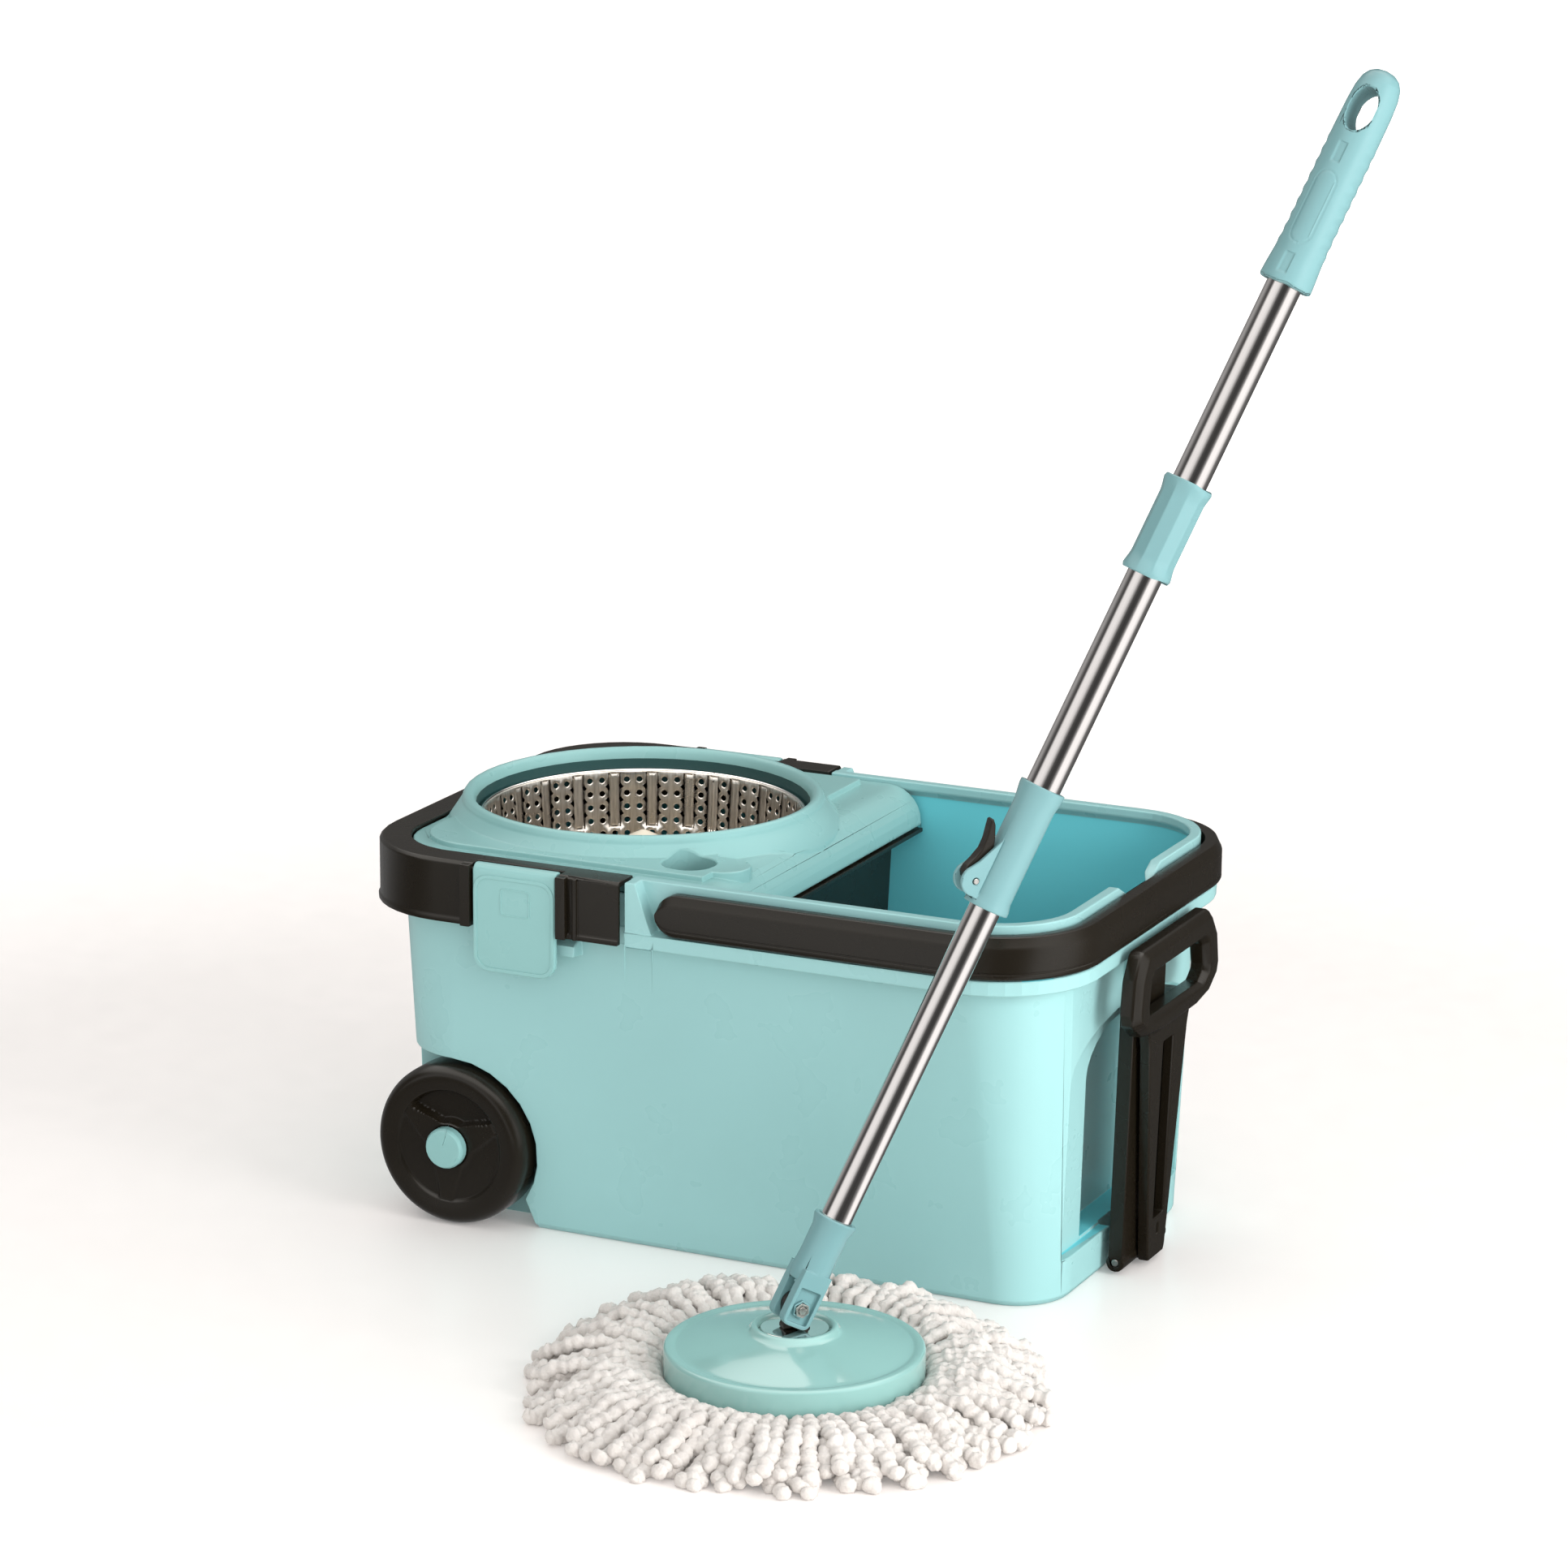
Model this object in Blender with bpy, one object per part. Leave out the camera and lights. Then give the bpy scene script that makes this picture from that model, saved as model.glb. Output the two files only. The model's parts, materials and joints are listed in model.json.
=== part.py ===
"""Spin mop set: a wheeled wringer bucket and its telescopic mop.

Metres, +Z up.  The origin is the centre of the bucket's underside.  +X points to
the end with the folding pull handle, -X to the wheels and the spin basket, and
-Y to the long face that the mop leans past.
"""
import math

import bmesh
import bpy
from mathutils import Matrix, Vector

# ---------------------------------------------------------------- driving sizes
GAP = 0.0003                    # running gap between pieces that touch
CORNER_STEPS = 10               # facets in each rounded corner of the tub and its bands

# Tub: (z, half length, half width, corner radius) of its outer skin.
WALL = 0.003
FLOOR = 0.004
TUB_FOOT = (0.000, 0.2310, 0.1220, 0.036)
TUB_LOW = (0.004, 0.2340, 0.1255, 0.039)
TUB_HIGH = (0.215, 0.2390, 0.1520, 0.057)
LIP_LOW = (0.218, 0.2520, 0.1665, 0.068)
LIP_TOP = (0.2278, 0.2525, 0.1670, 0.0685)
RIM_LOW = (0.2286, 0.2410, 0.1560, 0.058)
RIM_TOP = (0.261, 0.2410, 0.1560, 0.058)
RIM_LEDGE = 0.0045              # how far the rolled rim stands in over the wall
SEAT_Z = 0.250                  # rim height under the wringer unit
WRINGER_END = -0.048            # x where the wringer collar ends

# Band that the collar and the carry handle share.
BAND = (0.2550, 0.1700, 0.071)  # half length, half width, corner radius
BAND_THICK = 0.0115
BAND_LOW = 0.229
BAND_TOP = 0.2565
BAIL_PIVOT = (-0.0105, 0.24275)

# Wheels and axle.
WHEEL_X = -0.190
WHEEL_R = 0.0555
WHEEL_OUT = 0.146
WHEEL_IN = 0.110
WELL_Y = 0.100
WELL_R = 0.0595
AXLE_R = 0.004
HUB_CAP_R = 0.0140

# Spin basket and tray.
BASKET_X = -0.1183
HOLE_R = 0.1125
BASKET_R = 0.1080
BASKET_FLOOR = 0.140
BASKET_RIM = 0.2618
TRAY_TOP = 0.2585
TRAY_TERRACE = 0.2625
RING_TOP = 0.2755
SKIRT_X = 0.021
SKIRT_Z = 0.232
DIVIDER_X = -0.003
POUR_HOLE = (-0.0290, -0.1105, 0.0180)

# Latches.
LATCH_X = (-0.155, -0.095)
LATCH_PIN = (0.1665, 0.2562)
LATCH_FOOT = 0.190

# Folding pull handle.
PULL_HINGE = (0.250, 0.208)
PULL_KNUCKLE = (0.2445, 0.0085)
PULL_HALF = 0.038               # half width of the inner arm below its neck
PULL_NECK_Z = 0.178
PULL_SLOPE = 0.035

# Mop head.
MOP_X, MOP_Y = 0.1525, -0.330
DISC_R = 0.080
BOLT_Z = 0.0618
FRINGE_R = 0.164
POLE_LEAN = (0.349, 0.375, 1.0)

# Pole, as distances along it from the bolt.
LOWER_R = 0.0100
UPPER_R = 0.0110
TUBE_WALL = 0.0007
FORK_TOP = 0.058
LOWER_END = 0.590
CLAMP_LOW, CLAMP_TOP = 0.267, 0.348
BUSH_LOW, BUSH_TOP = 0.2695, 0.289
UPPER_LOW = 0.292
MID_LOW, MID_TOP = 0.489, 0.551
GRIP_LOW, GRIP_TOP = 0.681, 0.822
PLUG_LOW, PLUG_TOP = 0.752, 0.764
SCREW_LOW = 0.325
SCREW_LEAD = 0.090
SCREW_SIZE = (0.0080, 0.0024)
NUT_LOW, NUT_TOP = 0.584, 0.586
LEVER_TURN = math.radians(2.0)

TEAL = ((0.36, 0.72, 0.74), 0.32, 0.0)
TEAL_DEEP = ((0.30, 0.66, 0.69), 0.35, 0.0)
BLACK = ((0.035, 0.032, 0.030), 0.34, 0.0)
STEEL = ((0.62, 0.61, 0.60), 0.28, 1.0)
CHROME = ((0.75, 0.74, 0.73), 0.08, 1.0)
CREAM = ((0.86, 0.82, 0.72), 0.45, 0.0)
WHITE = ((0.86, 0.85, 0.83), 0.50, 0.0)
FIBRE = ((0.84, 0.81, 0.79), 0.95, 0.0)


# ---------------------------------------------------------------- scene helpers
def clear_scene():
    for obj in list(bpy.data.objects):
        bpy.data.objects.remove(obj, do_unlink=True)


def give_material(obj, look):
    colour, roughness, metallic = look
    material = bpy.data.materials.new(obj.name + "_material")
    material.use_nodes = True
    shader = material.node_tree.nodes["Principled BSDF"]
    shader.inputs["Base Color"].default_value = (*colour, 1.0)
    shader.inputs["Roughness"].default_value = roughness
    shader.inputs["Metallic"].default_value = metallic
    material.diffuse_color = (*colour, 1.0)
    obj.data.materials.clear()
    obj.data.materials.append(material)


def solid(name, verts, faces):
    """An object from points and faces, its normals turned outwards."""
    mesh = bpy.data.meshes.new(name)
    mesh.from_pydata([tuple(v) for v in verts], [], faces)
    shape = bmesh.new()
    shape.from_mesh(mesh)
    bmesh.ops.recalc_face_normals(shape, faces=shape.faces)
    if shape.calc_volume(signed=True) < 0:
        bmesh.ops.reverse_faces(shape, faces=shape.faces)
    shape.to_mesh(mesh)
    shape.free()
    obj = bpy.data.objects.new(name, mesh)
    bpy.context.scene.collection.objects.link(obj)
    return obj


def finish(obj, look, parent=None, angle=35.0):
    """Give a finished piece its material, smooth shading and parent."""
    give_material(obj, look)
    obj.data.shade_smooth()
    obj.data.set_sharp_from_angle(angle=math.radians(angle))
    obj.parent = parent
    return obj


def combine(target, tools, operation):
    """Apply a Boolean of each tool to target, and remove the tools."""
    for tool in tools:
        modifier = target.modifiers.new("combine", "BOOLEAN")
        modifier.operation = operation
        modifier.solver = "EXACT"
        modifier.object = tool
        graph = bpy.context.evaluated_depsgraph_get()
        mesh = bpy.data.meshes.new_from_object(target.evaluated_get(graph))
        target.modifiers.clear()
        target.data = mesh
        bpy.data.objects.remove(tool, do_unlink=True)
    return target


def cut(target, *tools):
    return combine(target, tools, "DIFFERENCE")


def join(target, *tools):
    return combine(target, tools, "UNION")


def trim(target, *tools):
    return combine(target, tools, "INTERSECT")


def set_origin(obj, point):
    """Move an object's origin to a point without moving its shape."""
    obj.data.transform(Matrix.Translation(-Vector(point)))
    obj.location = point


# ---------------------------------------------------------------- shape helpers
def rounded_rect(half_x, half_y, radius, z, centre=(0.0, 0.0), segments=CORNER_STEPS):
    """Corner points of a rounded rectangle, anticlockwise from its +X side."""
    points = []
    for quarter in range(4):
        sign_x = 1 if quarter in (0, 3) else -1
        sign_y = 1 if quarter in (0, 1) else -1
        corner_x = centre[0] + sign_x * (half_x - radius)
        corner_y = centre[1] + sign_y * (half_y - radius)
        for step in range(segments + 1):
            angle = math.pi / 2 * (quarter + step / segments)
            points.append((corner_x + radius * math.cos(angle), corner_y + radius * math.sin(angle), z))
    return points


def loft(name, rings, closed=False):
    """Skin a stack of rings; a closed loft joins the last ring to the first."""
    count = len(rings[0])
    verts = [point for ring in rings for point in ring]
    faces = []
    spans = len(rings) if closed else len(rings) - 1
    for row in range(spans):
        low = row * count
        high = (row + 1) % len(rings) * count
        for i in range(count):
            j = (i + 1) % count
            faces.append((low + i, low + j, high + j, high + i))
    if not closed:
        faces.append(tuple(range(count)))
        faces.append(tuple(range((len(rings) - 1) * count, len(rings) * count)))
    return solid(name, verts, faces)


def turned(name, profile, steps=32, centre=(0.0, 0.0, 0.0), axis="Z", closed=False):
    """Turn a (radius, height) profile about an axis through centre."""
    rings = []
    for radius, height in profile:
        radius = max(radius, 1e-5)
        ring = []
        for step in range(steps):
            angle = 2 * math.pi * step / steps
            ring.append((radius * math.cos(angle), radius * math.sin(angle), height))
        rings.append(ring)
    obj = loft(name, rings, closed)
    if axis == "Y":
        obj.data.transform(Matrix.Rotation(-math.pi / 2, 4, "X"))
    elif axis == "X":
        obj.data.transform(Matrix.Rotation(math.pi / 2, 4, "Y"))
    obj.data.transform(Matrix.Translation(centre))
    return obj


def rod(name, radius, low, high, centre=(0.0, 0.0, 0.0), axis="Z", steps=16):
    return turned(name, [(radius, low), (radius, high)], steps, centre, axis)


def tube(name, outer, inner, low, high, steps=32):
    return turned(name, [(outer, low), (outer, high), (inner, high), (inner, low)], steps, closed=True)


def prism(name, outline, low, high, axis="Z"):
    """Extrude a flat outline: XY along Z, XZ along Y, or YZ along X."""
    place = {"Z": lambda a, b, c: (a, b, c), "Y": lambda a, b, c: (a, c, b), "X": lambda a, b, c: (c, a, b)}[axis]
    return loft(name, [[place(a, b, level) for a, b in outline] for level in (low, high)])


def box(name, low, high):
    outline = [(low[0], low[1]), (high[0], low[1]), (high[0], high[1]), (low[0], high[1])]
    return prism(name, outline, low[2], high[2])


def arc(centre, radius, start, end, segments):
    """Points on an arc in a plane, angles in degrees."""
    points = []
    for step in range(segments + 1):
        angle = math.radians(start + (end - start) * step / segments)
        points.append((centre[0] + radius * math.cos(angle), centre[1] + radius * math.sin(angle)))
    return points


def inset(ring, amount, z=None):
    """A tub ring moved in by a wall thickness."""
    level = ring[0] if z is None else z
    return (level, ring[1] - amount, ring[2] - amount, ring[3] - amount)


def tub_rings(sections):
    return [rounded_rect(x, y, r, z) for z, x, y, r in sections]


def swap_side(obj, side):
    """Mirror a piece modelled on the -Y side to the +Y side when side is +1."""
    if side > 0:
        obj.data.transform(Matrix.Scale(-1, 4, (0, 1, 0)))
        obj.data.flip_normals()
    return obj


def both_sides(make):
    return [swap_side(make(), side) for side in (-1, 1)]


# ---------------------------------------------------------------- tub
def tub_well(grow=0.0):
    """The space that a wheel takes from the tub's corner: an arch with a sloping front edge."""
    radius = WELL_R + grow
    outline = [(-0.270, -0.010), (WHEEL_X + radius, -0.010)]
    outline += arc((WHEEL_X, WHEEL_R), radius, -36.0, 90.0, 9)
    outline.append((-0.270, WHEEL_R + radius))
    return prism("well", outline, -0.300, -WELL_Y + grow, "Y")


def channel(half_wide, depth, low, spring, grow=0.0):
    """An arched recess in the +X end wall for the folded pull handle."""
    half = half_wide + grow
    rise = 0.030
    outline = [(-half, low - grow), (half, low - grow), (half, spring + grow)]
    for step in range(1, 12):
        angle = math.pi * step / 12
        outline.append((half * math.cos(angle), spring + grow + rise * math.sin(angle)))
    outline.append((-half, spring + grow))
    shape = prism("channel", outline, TUB_LOW[1] - depth - grow, 0.300, "X")
    shear = Matrix.Identity(4)
    shear[0][2] = (TUB_HIGH[1] - TUB_LOW[1]) / (TUB_HIGH[0] - TUB_LOW[0])
    shape.data.transform(shear)
    return shape


def spout():
    """Wide shallow notch in the +X rim to pour from."""
    outline = [(-0.038, 0.262), (0.038, 0.262), (0.018, 0.2515), (-0.018, 0.2515)]
    return prism("spout", outline, 0.225, 0.250, "X")


def tub_core():
    """The tub's hollow, with the wells, channel and axle tunnel left standing."""
    under_rim = inset(RIM_TOP, WALL + 0.0005, 0.251)
    sections = [
        inset(TUB_LOW, WALL, FLOOR + 0.0005), inset(TUB_HIGH, WALL), under_rim,
        inset(RIM_TOP, WALL + RIM_LEDGE, 0.2555), inset(RIM_TOP, WALL + RIM_LEDGE, 0.270),
    ]
    core = loft("core", tub_rings(sections))
    for well in both_sides(lambda: tub_well(WALL)):
        cut(core, well)
    cut(core, channel(0.100, 0.008, 0.028, 0.148, WALL))
    cut(core, channel(0.056, 0.026, 0.030, 0.136, WALL))
    cut(core, box("notch_room", (0.222, -0.026, -0.010), (0.300, 0.026, 0.060)))
    cut(core, box("tunnel_room", (WHEEL_X - 0.0075, -0.120, -0.010), (WHEEL_X + 0.0075, 0.120, 0.0645)))
    return core


def catch_ledge():
    """Wedge on the long wall that a latch hooks under."""
    outline = [(-0.1500, 0.203), (-0.1625, 0.2045), (-0.1625, 0.2115), (-0.1500, 0.216)]
    return prism("ledge", outline, -0.138, -0.086, "X")


def bail_cheek():
    """Slanted stop between the collar's end and the carry handle's round end."""
    outline = [(-0.0470, 0.2180), (-0.0470, 0.2610), (-0.0400, 0.2610), (-0.0275, 0.2262), (-0.0275, 0.2180)]
    return prism("cheek", outline, -0.1668, -0.1545, "Y")


def hinge_lug(side):
    """Lug under the +X lip that carries the pull handle's top pin."""
    outline = [(0.2360, 0.2190), (0.2360, 0.1880)]
    outline += arc(PULL_HINGE, 0.0065, -70.0, 30.0, 5)
    outline.append((0.2545, 0.2190))
    low, high = sorted((side * 0.0165, side * 0.0215))
    return prism("lug", outline, low, high, "Y")


def lip_under_collar():
    """The stretch of lip that makes room for the collar's skirt."""
    grown = [(z, x + 0.0002, y + 0.0002, r + 0.0002) for z, x, y, r in (TUB_HIGH, RIM_LOW, RIM_TOP)]
    grown[-1] = (0.272,) + grown[-1][1:]
    lip = box("lip", (-0.300, -0.200, TUB_HIGH[0]), (WRINGER_END, 0.200, 0.2455))
    return cut(lip, loft("keep", tub_rings(grown)))


def make_bucket_shell():
    sections = [TUB_FOOT, TUB_LOW, TUB_HIGH, LIP_LOW, LIP_TOP, RIM_LOW, RIM_TOP]
    shell = loft("bucket_shell", tub_rings(sections))
    cut(shell, lip_under_collar())
    for piece in both_sides(bail_cheek) + both_sides(catch_ledge):
        join(shell, piece)
    for side in (-1, 1):
        join(shell, hinge_lug(side))
    for well in both_sides(tub_well):
        cut(shell, well)
    cut(shell, channel(0.100, 0.008, 0.028, 0.148), channel(0.056, 0.026, 0.030, 0.136))
    cut(shell, box("notch", (0.2255, -0.0225, -0.010), (0.300, 0.0225, 0.040)))
    cut(shell, box("tunnel", (WHEEL_X - 0.0044, -0.120, -0.010), (WHEEL_X + 0.0044, 0.120, WHEEL_R + 0.0044)))
    cut(shell, tub_core(), spout())
    cut(shell, box("seat", (-0.300, -0.200, SEAT_Z), (WRINGER_END, 0.200, 0.300)))
    cut(shell, rod("bail_holes", 0.0042, -0.200, 0.200, (BAIL_PIVOT[0], 0.0, BAIL_PIVOT[1]), "Y"))
    cut(shell, rod("lug_holes", 0.0028, -0.040, 0.040, (PULL_HINGE[0], 0.0, PULL_HINGE[1]), "Y", 12))
    return finish(shell, TEAL)


# ---------------------------------------------------------------- wringer unit
def latch_fittings():
    """Ribs and back wall of the pocket that a latch sits in."""
    left, right = LATCH_X
    back = box("back", (left - 0.004, -0.1604, 0.219), (right + 0.004, -0.1580, 0.2575))
    ribs = [box("rib", (x, -0.1745, 0.219), (x + 0.007, -0.1590, 0.2605)) for x in (left - 0.0085, right + 0.0015)]
    ridge = box("ridge", (right + 0.0125, -0.1722, 0.219), (right + 0.0155, -0.1680, 0.2600))
    return join(back, *ribs, ridge)


def make_collar():
    half_x, half_y, radius = BAND
    lip = 0.0010
    outer = [
        (0.2190, half_x + lip, half_y + lip, radius + lip), (0.2220, half_x + lip, half_y + lip, radius + lip),
        (0.2230, half_x, half_y, radius), (0.2590, half_x, half_y, radius),
        (0.2610, half_x - 0.002, half_y - 0.002, radius - 0.002),
    ]
    collar = loft("collar", tub_rings(outer))
    room = tub_rings([(z, half_x - 0.003, half_y - 0.003, radius - 0.003) for z in (0.210, 0.2575)])
    mouth = tub_rings([(z, half_x - 0.0212, half_y - 0.0212, radius - 0.0212) for z in (0.250, 0.270)])
    cut(collar, loft("room", room), loft("mouth", mouth))
    cut(collar, box("front", (WRINGER_END - 0.002, -0.200, 0.200), (0.300, 0.200, 0.300)))
    left, right = LATCH_X
    for pocket in both_sides(lambda: box("pocket", (left - 0.0015, -0.180, 0.210), (right + 0.0015, -0.1602, 0.270))):
        cut(collar, pocket)
    for fitting in both_sides(latch_fittings):
        join(collar, fitting)
    for side in (-1, 1):
        cut(collar, rod("pin_hole", 0.0021, -0.180, -0.070, (0.0, side * LATCH_PIN[0], LATCH_PIN[1]), "X", 12))
    return finish(collar, BLACK)


def tray_outline(shrink=0.0):
    """Plan of the tray: round at the wheel end, square at the skirt end."""
    left, half, front = -0.2330 + shrink, 0.1478 - shrink, 0.030 - shrink
    big, small = 0.049 - shrink, 0.010
    outline = [(front - small + x, half - small + y) for x, y in arc((0, 0), small, 0, 90, 3)]
    outline += [(left + big + x, half - big + y) for x, y in arc((0, 0), big, 90, 180, 8)]
    outline += [(left + big + x, -half + big + y) for x, y in arc((0, 0), big, 180, 270, 8)]
    outline += [(front - small + x, -half + small + y) for x, y in arc((0, 0), small, 270, 360, 3)]
    return outline


def tray_plate():
    """Flat plate whose +X edge rolls down into a skirt."""
    bend, thick = 0.024, 0.003
    centre = (SKIRT_X - bend, TRAY_TOP - bend)
    profile = [(-0.300, TRAY_TOP)] + arc(centre, bend, 90, 0, 7) + [(SKIRT_X, SKIRT_Z)]
    profile += [(SKIRT_X - thick, SKIRT_Z)] + arc(centre, bend - thick, 0, 90, 7)
    profile.append((-0.300, TRAY_TOP - thick))
    plate = prism("tray", profile, -0.200, 0.200, "Y")
    return trim(plate, prism("outline", tray_outline(), 0.220, 0.280))


def make_tray():
    tray = tray_plate()
    terrace = prism("terrace", tray_outline(0.011), TRAY_TOP - 0.002, TRAY_TERRACE)
    cut(terrace, box("end", (-0.020, -0.0875, 0.240), (0.100, 0.200, 0.280)))
    corner = (-0.006, -0.1055)
    ear = arc(corner, 0.018, -90, 90, 8) + [(-0.100, -0.0875), (-0.100, -0.1235)]
    cut(terrace, box("end", (-0.006, -0.200, 0.240), (0.100, -0.0870, 0.280)))
    join(terrace, prism("ear", ear, TRAY_TOP - 0.010, TRAY_TERRACE))
    skirt = prism("skirt", tray_outline(), 0.2480, TRAY_TOP - 0.001)
    cut(skirt, prism("hollow", tray_outline(0.003), 0.230, 0.280))
    cut(skirt, box("end", (-0.024, -0.200, 0.230), (0.100, 0.200, 0.280)))
    join(tray, terrace, skirt)
    ring = [
        (HOLE_R, 0.2482), (HOLE_R, 0.2680), (HOLE_R + 0.0009, 0.2718), (HOLE_R + 0.0028, 0.2744),
        (HOLE_R + 0.0055, RING_TOP), (HOLE_R + 0.0078, 0.2745), (HOLE_R + 0.0092, 0.2715), (HOLE_R + 0.0095, 0.2620),
        (HOLE_R + 0.0020, 0.2620), (HOLE_R + 0.0020, 0.2482),
    ]
    slope = [
        (HOLE_R + 0.0010, 0.2490), (HOLE_R + 0.0215, 0.2490), (HOLE_R + 0.0210, 0.2545), (HOLE_R + 0.0175, 0.2605),
        (HOLE_R + 0.0125, 0.2660), (HOLE_R + 0.0085, 0.2708), (HOLE_R + 0.0010, 0.2640),
    ]
    centre = (BASKET_X, 0.0, 0.0)
    flank = trim(turned("slope", slope, 48, centre, closed=True), prism("edge", tray_outline(0.0004), 0.200, 0.300))
    cut(tray, rod("bore", HOLE_R + 0.0015, 0.200, 0.300, centre, steps=48))
    join(tray, flank, turned("ring", ring, 48, centre, closed=True))
    pour_x, pour_y, pour_r = POUR_HOLE
    join(tray, rod("pour_collar", pour_r + 0.0016, 0.2490, TRAY_TOP - 0.0005, (pour_x, pour_y, 0.0), steps=24))
    cut(tray, rod("pour_hole", pour_r, 0.200, 0.300, (pour_x, pour_y, 0.0), steps=24))
    return finish(tray, TEAL)


def make_divider_panel():
    outline = [(-0.1205, 0.0055), (0.1205, 0.0055), (0.1470, 0.2300), (-0.1470, 0.2300)]
    panel = prism("divider_panel", outline, DIVIDER_X, 0.0, "X")
    join(panel, box("flange", (DIVIDER_X, -0.1460, 0.2278), (SKIRT_X + 0.002, 0.1460, 0.2305)))
    return finish(panel, BLACK)


def make_basket_cradle():
    low, top = 0.1225, 0.2475
    rim, edge = HOLE_R + 0.0002, HOLE_R + 0.0033
    cradle = tube("basket_cradle", edge, rim, top - 0.006, top)
    for index in range(4):
        angle = math.radians((50, 130, 230, 310)[index])
        arm = box("arm", (rim, -0.007, low), (edge, 0.007, top - 0.003))
        join(arm, box("spoke", (0.005, -0.007, low), (edge, 0.007, low + 0.004)))
        arm.data.transform(Matrix.Rotation(angle, 4, "Z"))
        join(cradle, arm)
    join(cradle, rod("boss", 0.0150, low, low + 0.006))
    cut(cradle, rod("bore", AXLE_R + GAP, low - 0.010, low + 0.020))
    cradle.data.transform(Matrix.Translation((BASKET_X, 0.0, 0.0)))
    return finish(cradle, BLACK)


def make_spindle():
    finish(rod("basket_spindle", AXLE_R, 0.1215, 0.1980, (BASKET_X, 0.0, 0.0)), STEEL)
    washer = [(0.0045, 0.1288), (0.0115, 0.1288), (0.0115, 0.1376), (0.0045, 0.1376)]
    finish(turned("thrust_washer", washer, 20, (BASKET_X, 0.0, 0.0), closed=True), WHITE)


def make_basket():
    floor, top = BASKET_FLOOR, BASKET_RIM
    profile = [
        (0.0120, floor - 0.0020), (0.0955, floor - 0.0020), (0.0985, floor + 0.0010), (BASKET_R, top - 0.0045),
        (0.1107, top - 0.0035), (0.1107, top - 0.0005), (0.1068, top), (0.0975, floor + 0.0016),
        (0.0948, floor - 0.0008), (0.0120, floor - 0.0008),
    ]
    basket = turned("basket", profile, 40, closed=True)
    basket.location = (BASKET_X, 0.0, 0.0)
    finish(basket, STEEL)
    hub = [
        (0.0, 0.2010), (0.0045, 0.2010), (0.0045, 0.1396), (0.0340, 0.1396), (0.0340, 0.1450),
        (0.0270, 0.1580), (0.0185, 0.2150), (0.0145, 0.2400), (0.0045, 0.2456), (0.0, 0.2473),
    ]
    cone = turned("basket_hub", hub, 20)
    cone.location = (BASKET_X, 0.0, 0.0)
    finish(cone, CREAM)


def make_latch(name, side):
    left, right = LATCH_X
    pin_y, pin_z = LATCH_PIN
    outer, inner = -pin_y - 0.0055, -pin_y - 0.0017
    corner = 0.011
    outline = [(right, pin_z), (left, pin_z)]
    outline += arc((left + corner, LATCH_FOOT + corner), corner, 180, 270, 5)
    outline += arc((right - corner, LATCH_FOOT + corner), corner, 270, 360, 5)
    latch = prism(name, outline, outer, inner, "Y")
    join(latch, rod("barrel", 0.0055, left, right, (0.0, -pin_y, pin_z), "X", 20))
    join(latch, box("hook", (-0.137, inner - 0.001, 0.1965), (-0.113, -0.1585, 0.2015)))
    cut(latch, rod("bore", 0.0021, -0.180, -0.070, (0.0, -pin_y, pin_z), "X", 12))
    swap_side(latch, side)
    set_origin(latch, (0.0, side * pin_y, pin_z))
    return finish(latch, TEAL)


def make_latches():
    left, right = LATCH_X
    for name, side in (("front", -1), ("back", 1)):
        make_latch("latch_" + name, side)
        centre = (0.0, side * LATCH_PIN[0], LATCH_PIN[1])
        finish(rod("latch_pin_" + name, 0.0018, left - 0.008, right + 0.008, centre, "X", 12), STEEL)


# ---------------------------------------------------------------- carry handle
def make_bail():
    half_x, half_y, radius = BAND
    pivot_x, pivot_z = BAIL_PIVOT
    sections = [
        (BAND_LOW, 0.002), (BAND_LOW + 0.0025, 0.0), (BAND_TOP - 0.0025, 0.0), (BAND_TOP, 0.002),
        (BAND_TOP, BAND_THICK), (BAND_LOW, BAND_THICK),
    ]
    rings = [rounded_rect(half_x - d, half_y - d, radius - d, z) for z, d in sections]
    bail = loft("bail", rings, closed=True)
    cut(bail, box("rest", (-0.300, -0.200, 0.200), (pivot_x, 0.200, 0.300)))
    for side in (-1, 1):
        ends = sorted((side * (half_y - BAND_THICK), side * (half_y - 0.0003)))
        eye = rod("eye", (BAND_TOP - BAND_LOW) / 2, *ends, (pivot_x, 0.0, pivot_z), "Y", 24)
        join(bail, eye)
    cut(bail, rod("bore", 0.0042, -0.1668, 0.1668, (pivot_x, 0.0, pivot_z), "Y"))
    set_origin(bail, (pivot_x, 0.0, pivot_z))
    finish(bail, BLACK)
    for name, side in (("bail_pin_front", -1), ("bail_pin_back", 1)):
        profile = [
            (0.0, -0.1662), (0.0039, -0.1662), (0.0039, -0.1502), (0.0070, -0.1502), (0.0070, -0.1476), (0.0, -0.1476),
        ]
        pin = turned(name, profile, 16, (pivot_x, 0.0, pivot_z), "Y")
        finish(swap_side(pin, side), STEEL)


# ---------------------------------------------------------------- wheels
def spoke_pocket(angle):
    """One of the recesses between a wheel's three spokes."""
    inner, outer = 0.0205, 0.0400
    outline = arc((0.0, 0.0), outer, angle - 45, angle + 45, 6)
    outline += arc((0.0, 0.0), inner, angle + 36, angle - 36, 4)
    return prism("pocket", [(x + WHEEL_X, z + WHEEL_R) for x, z in outline], -0.150, -0.1215, "Y")


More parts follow.
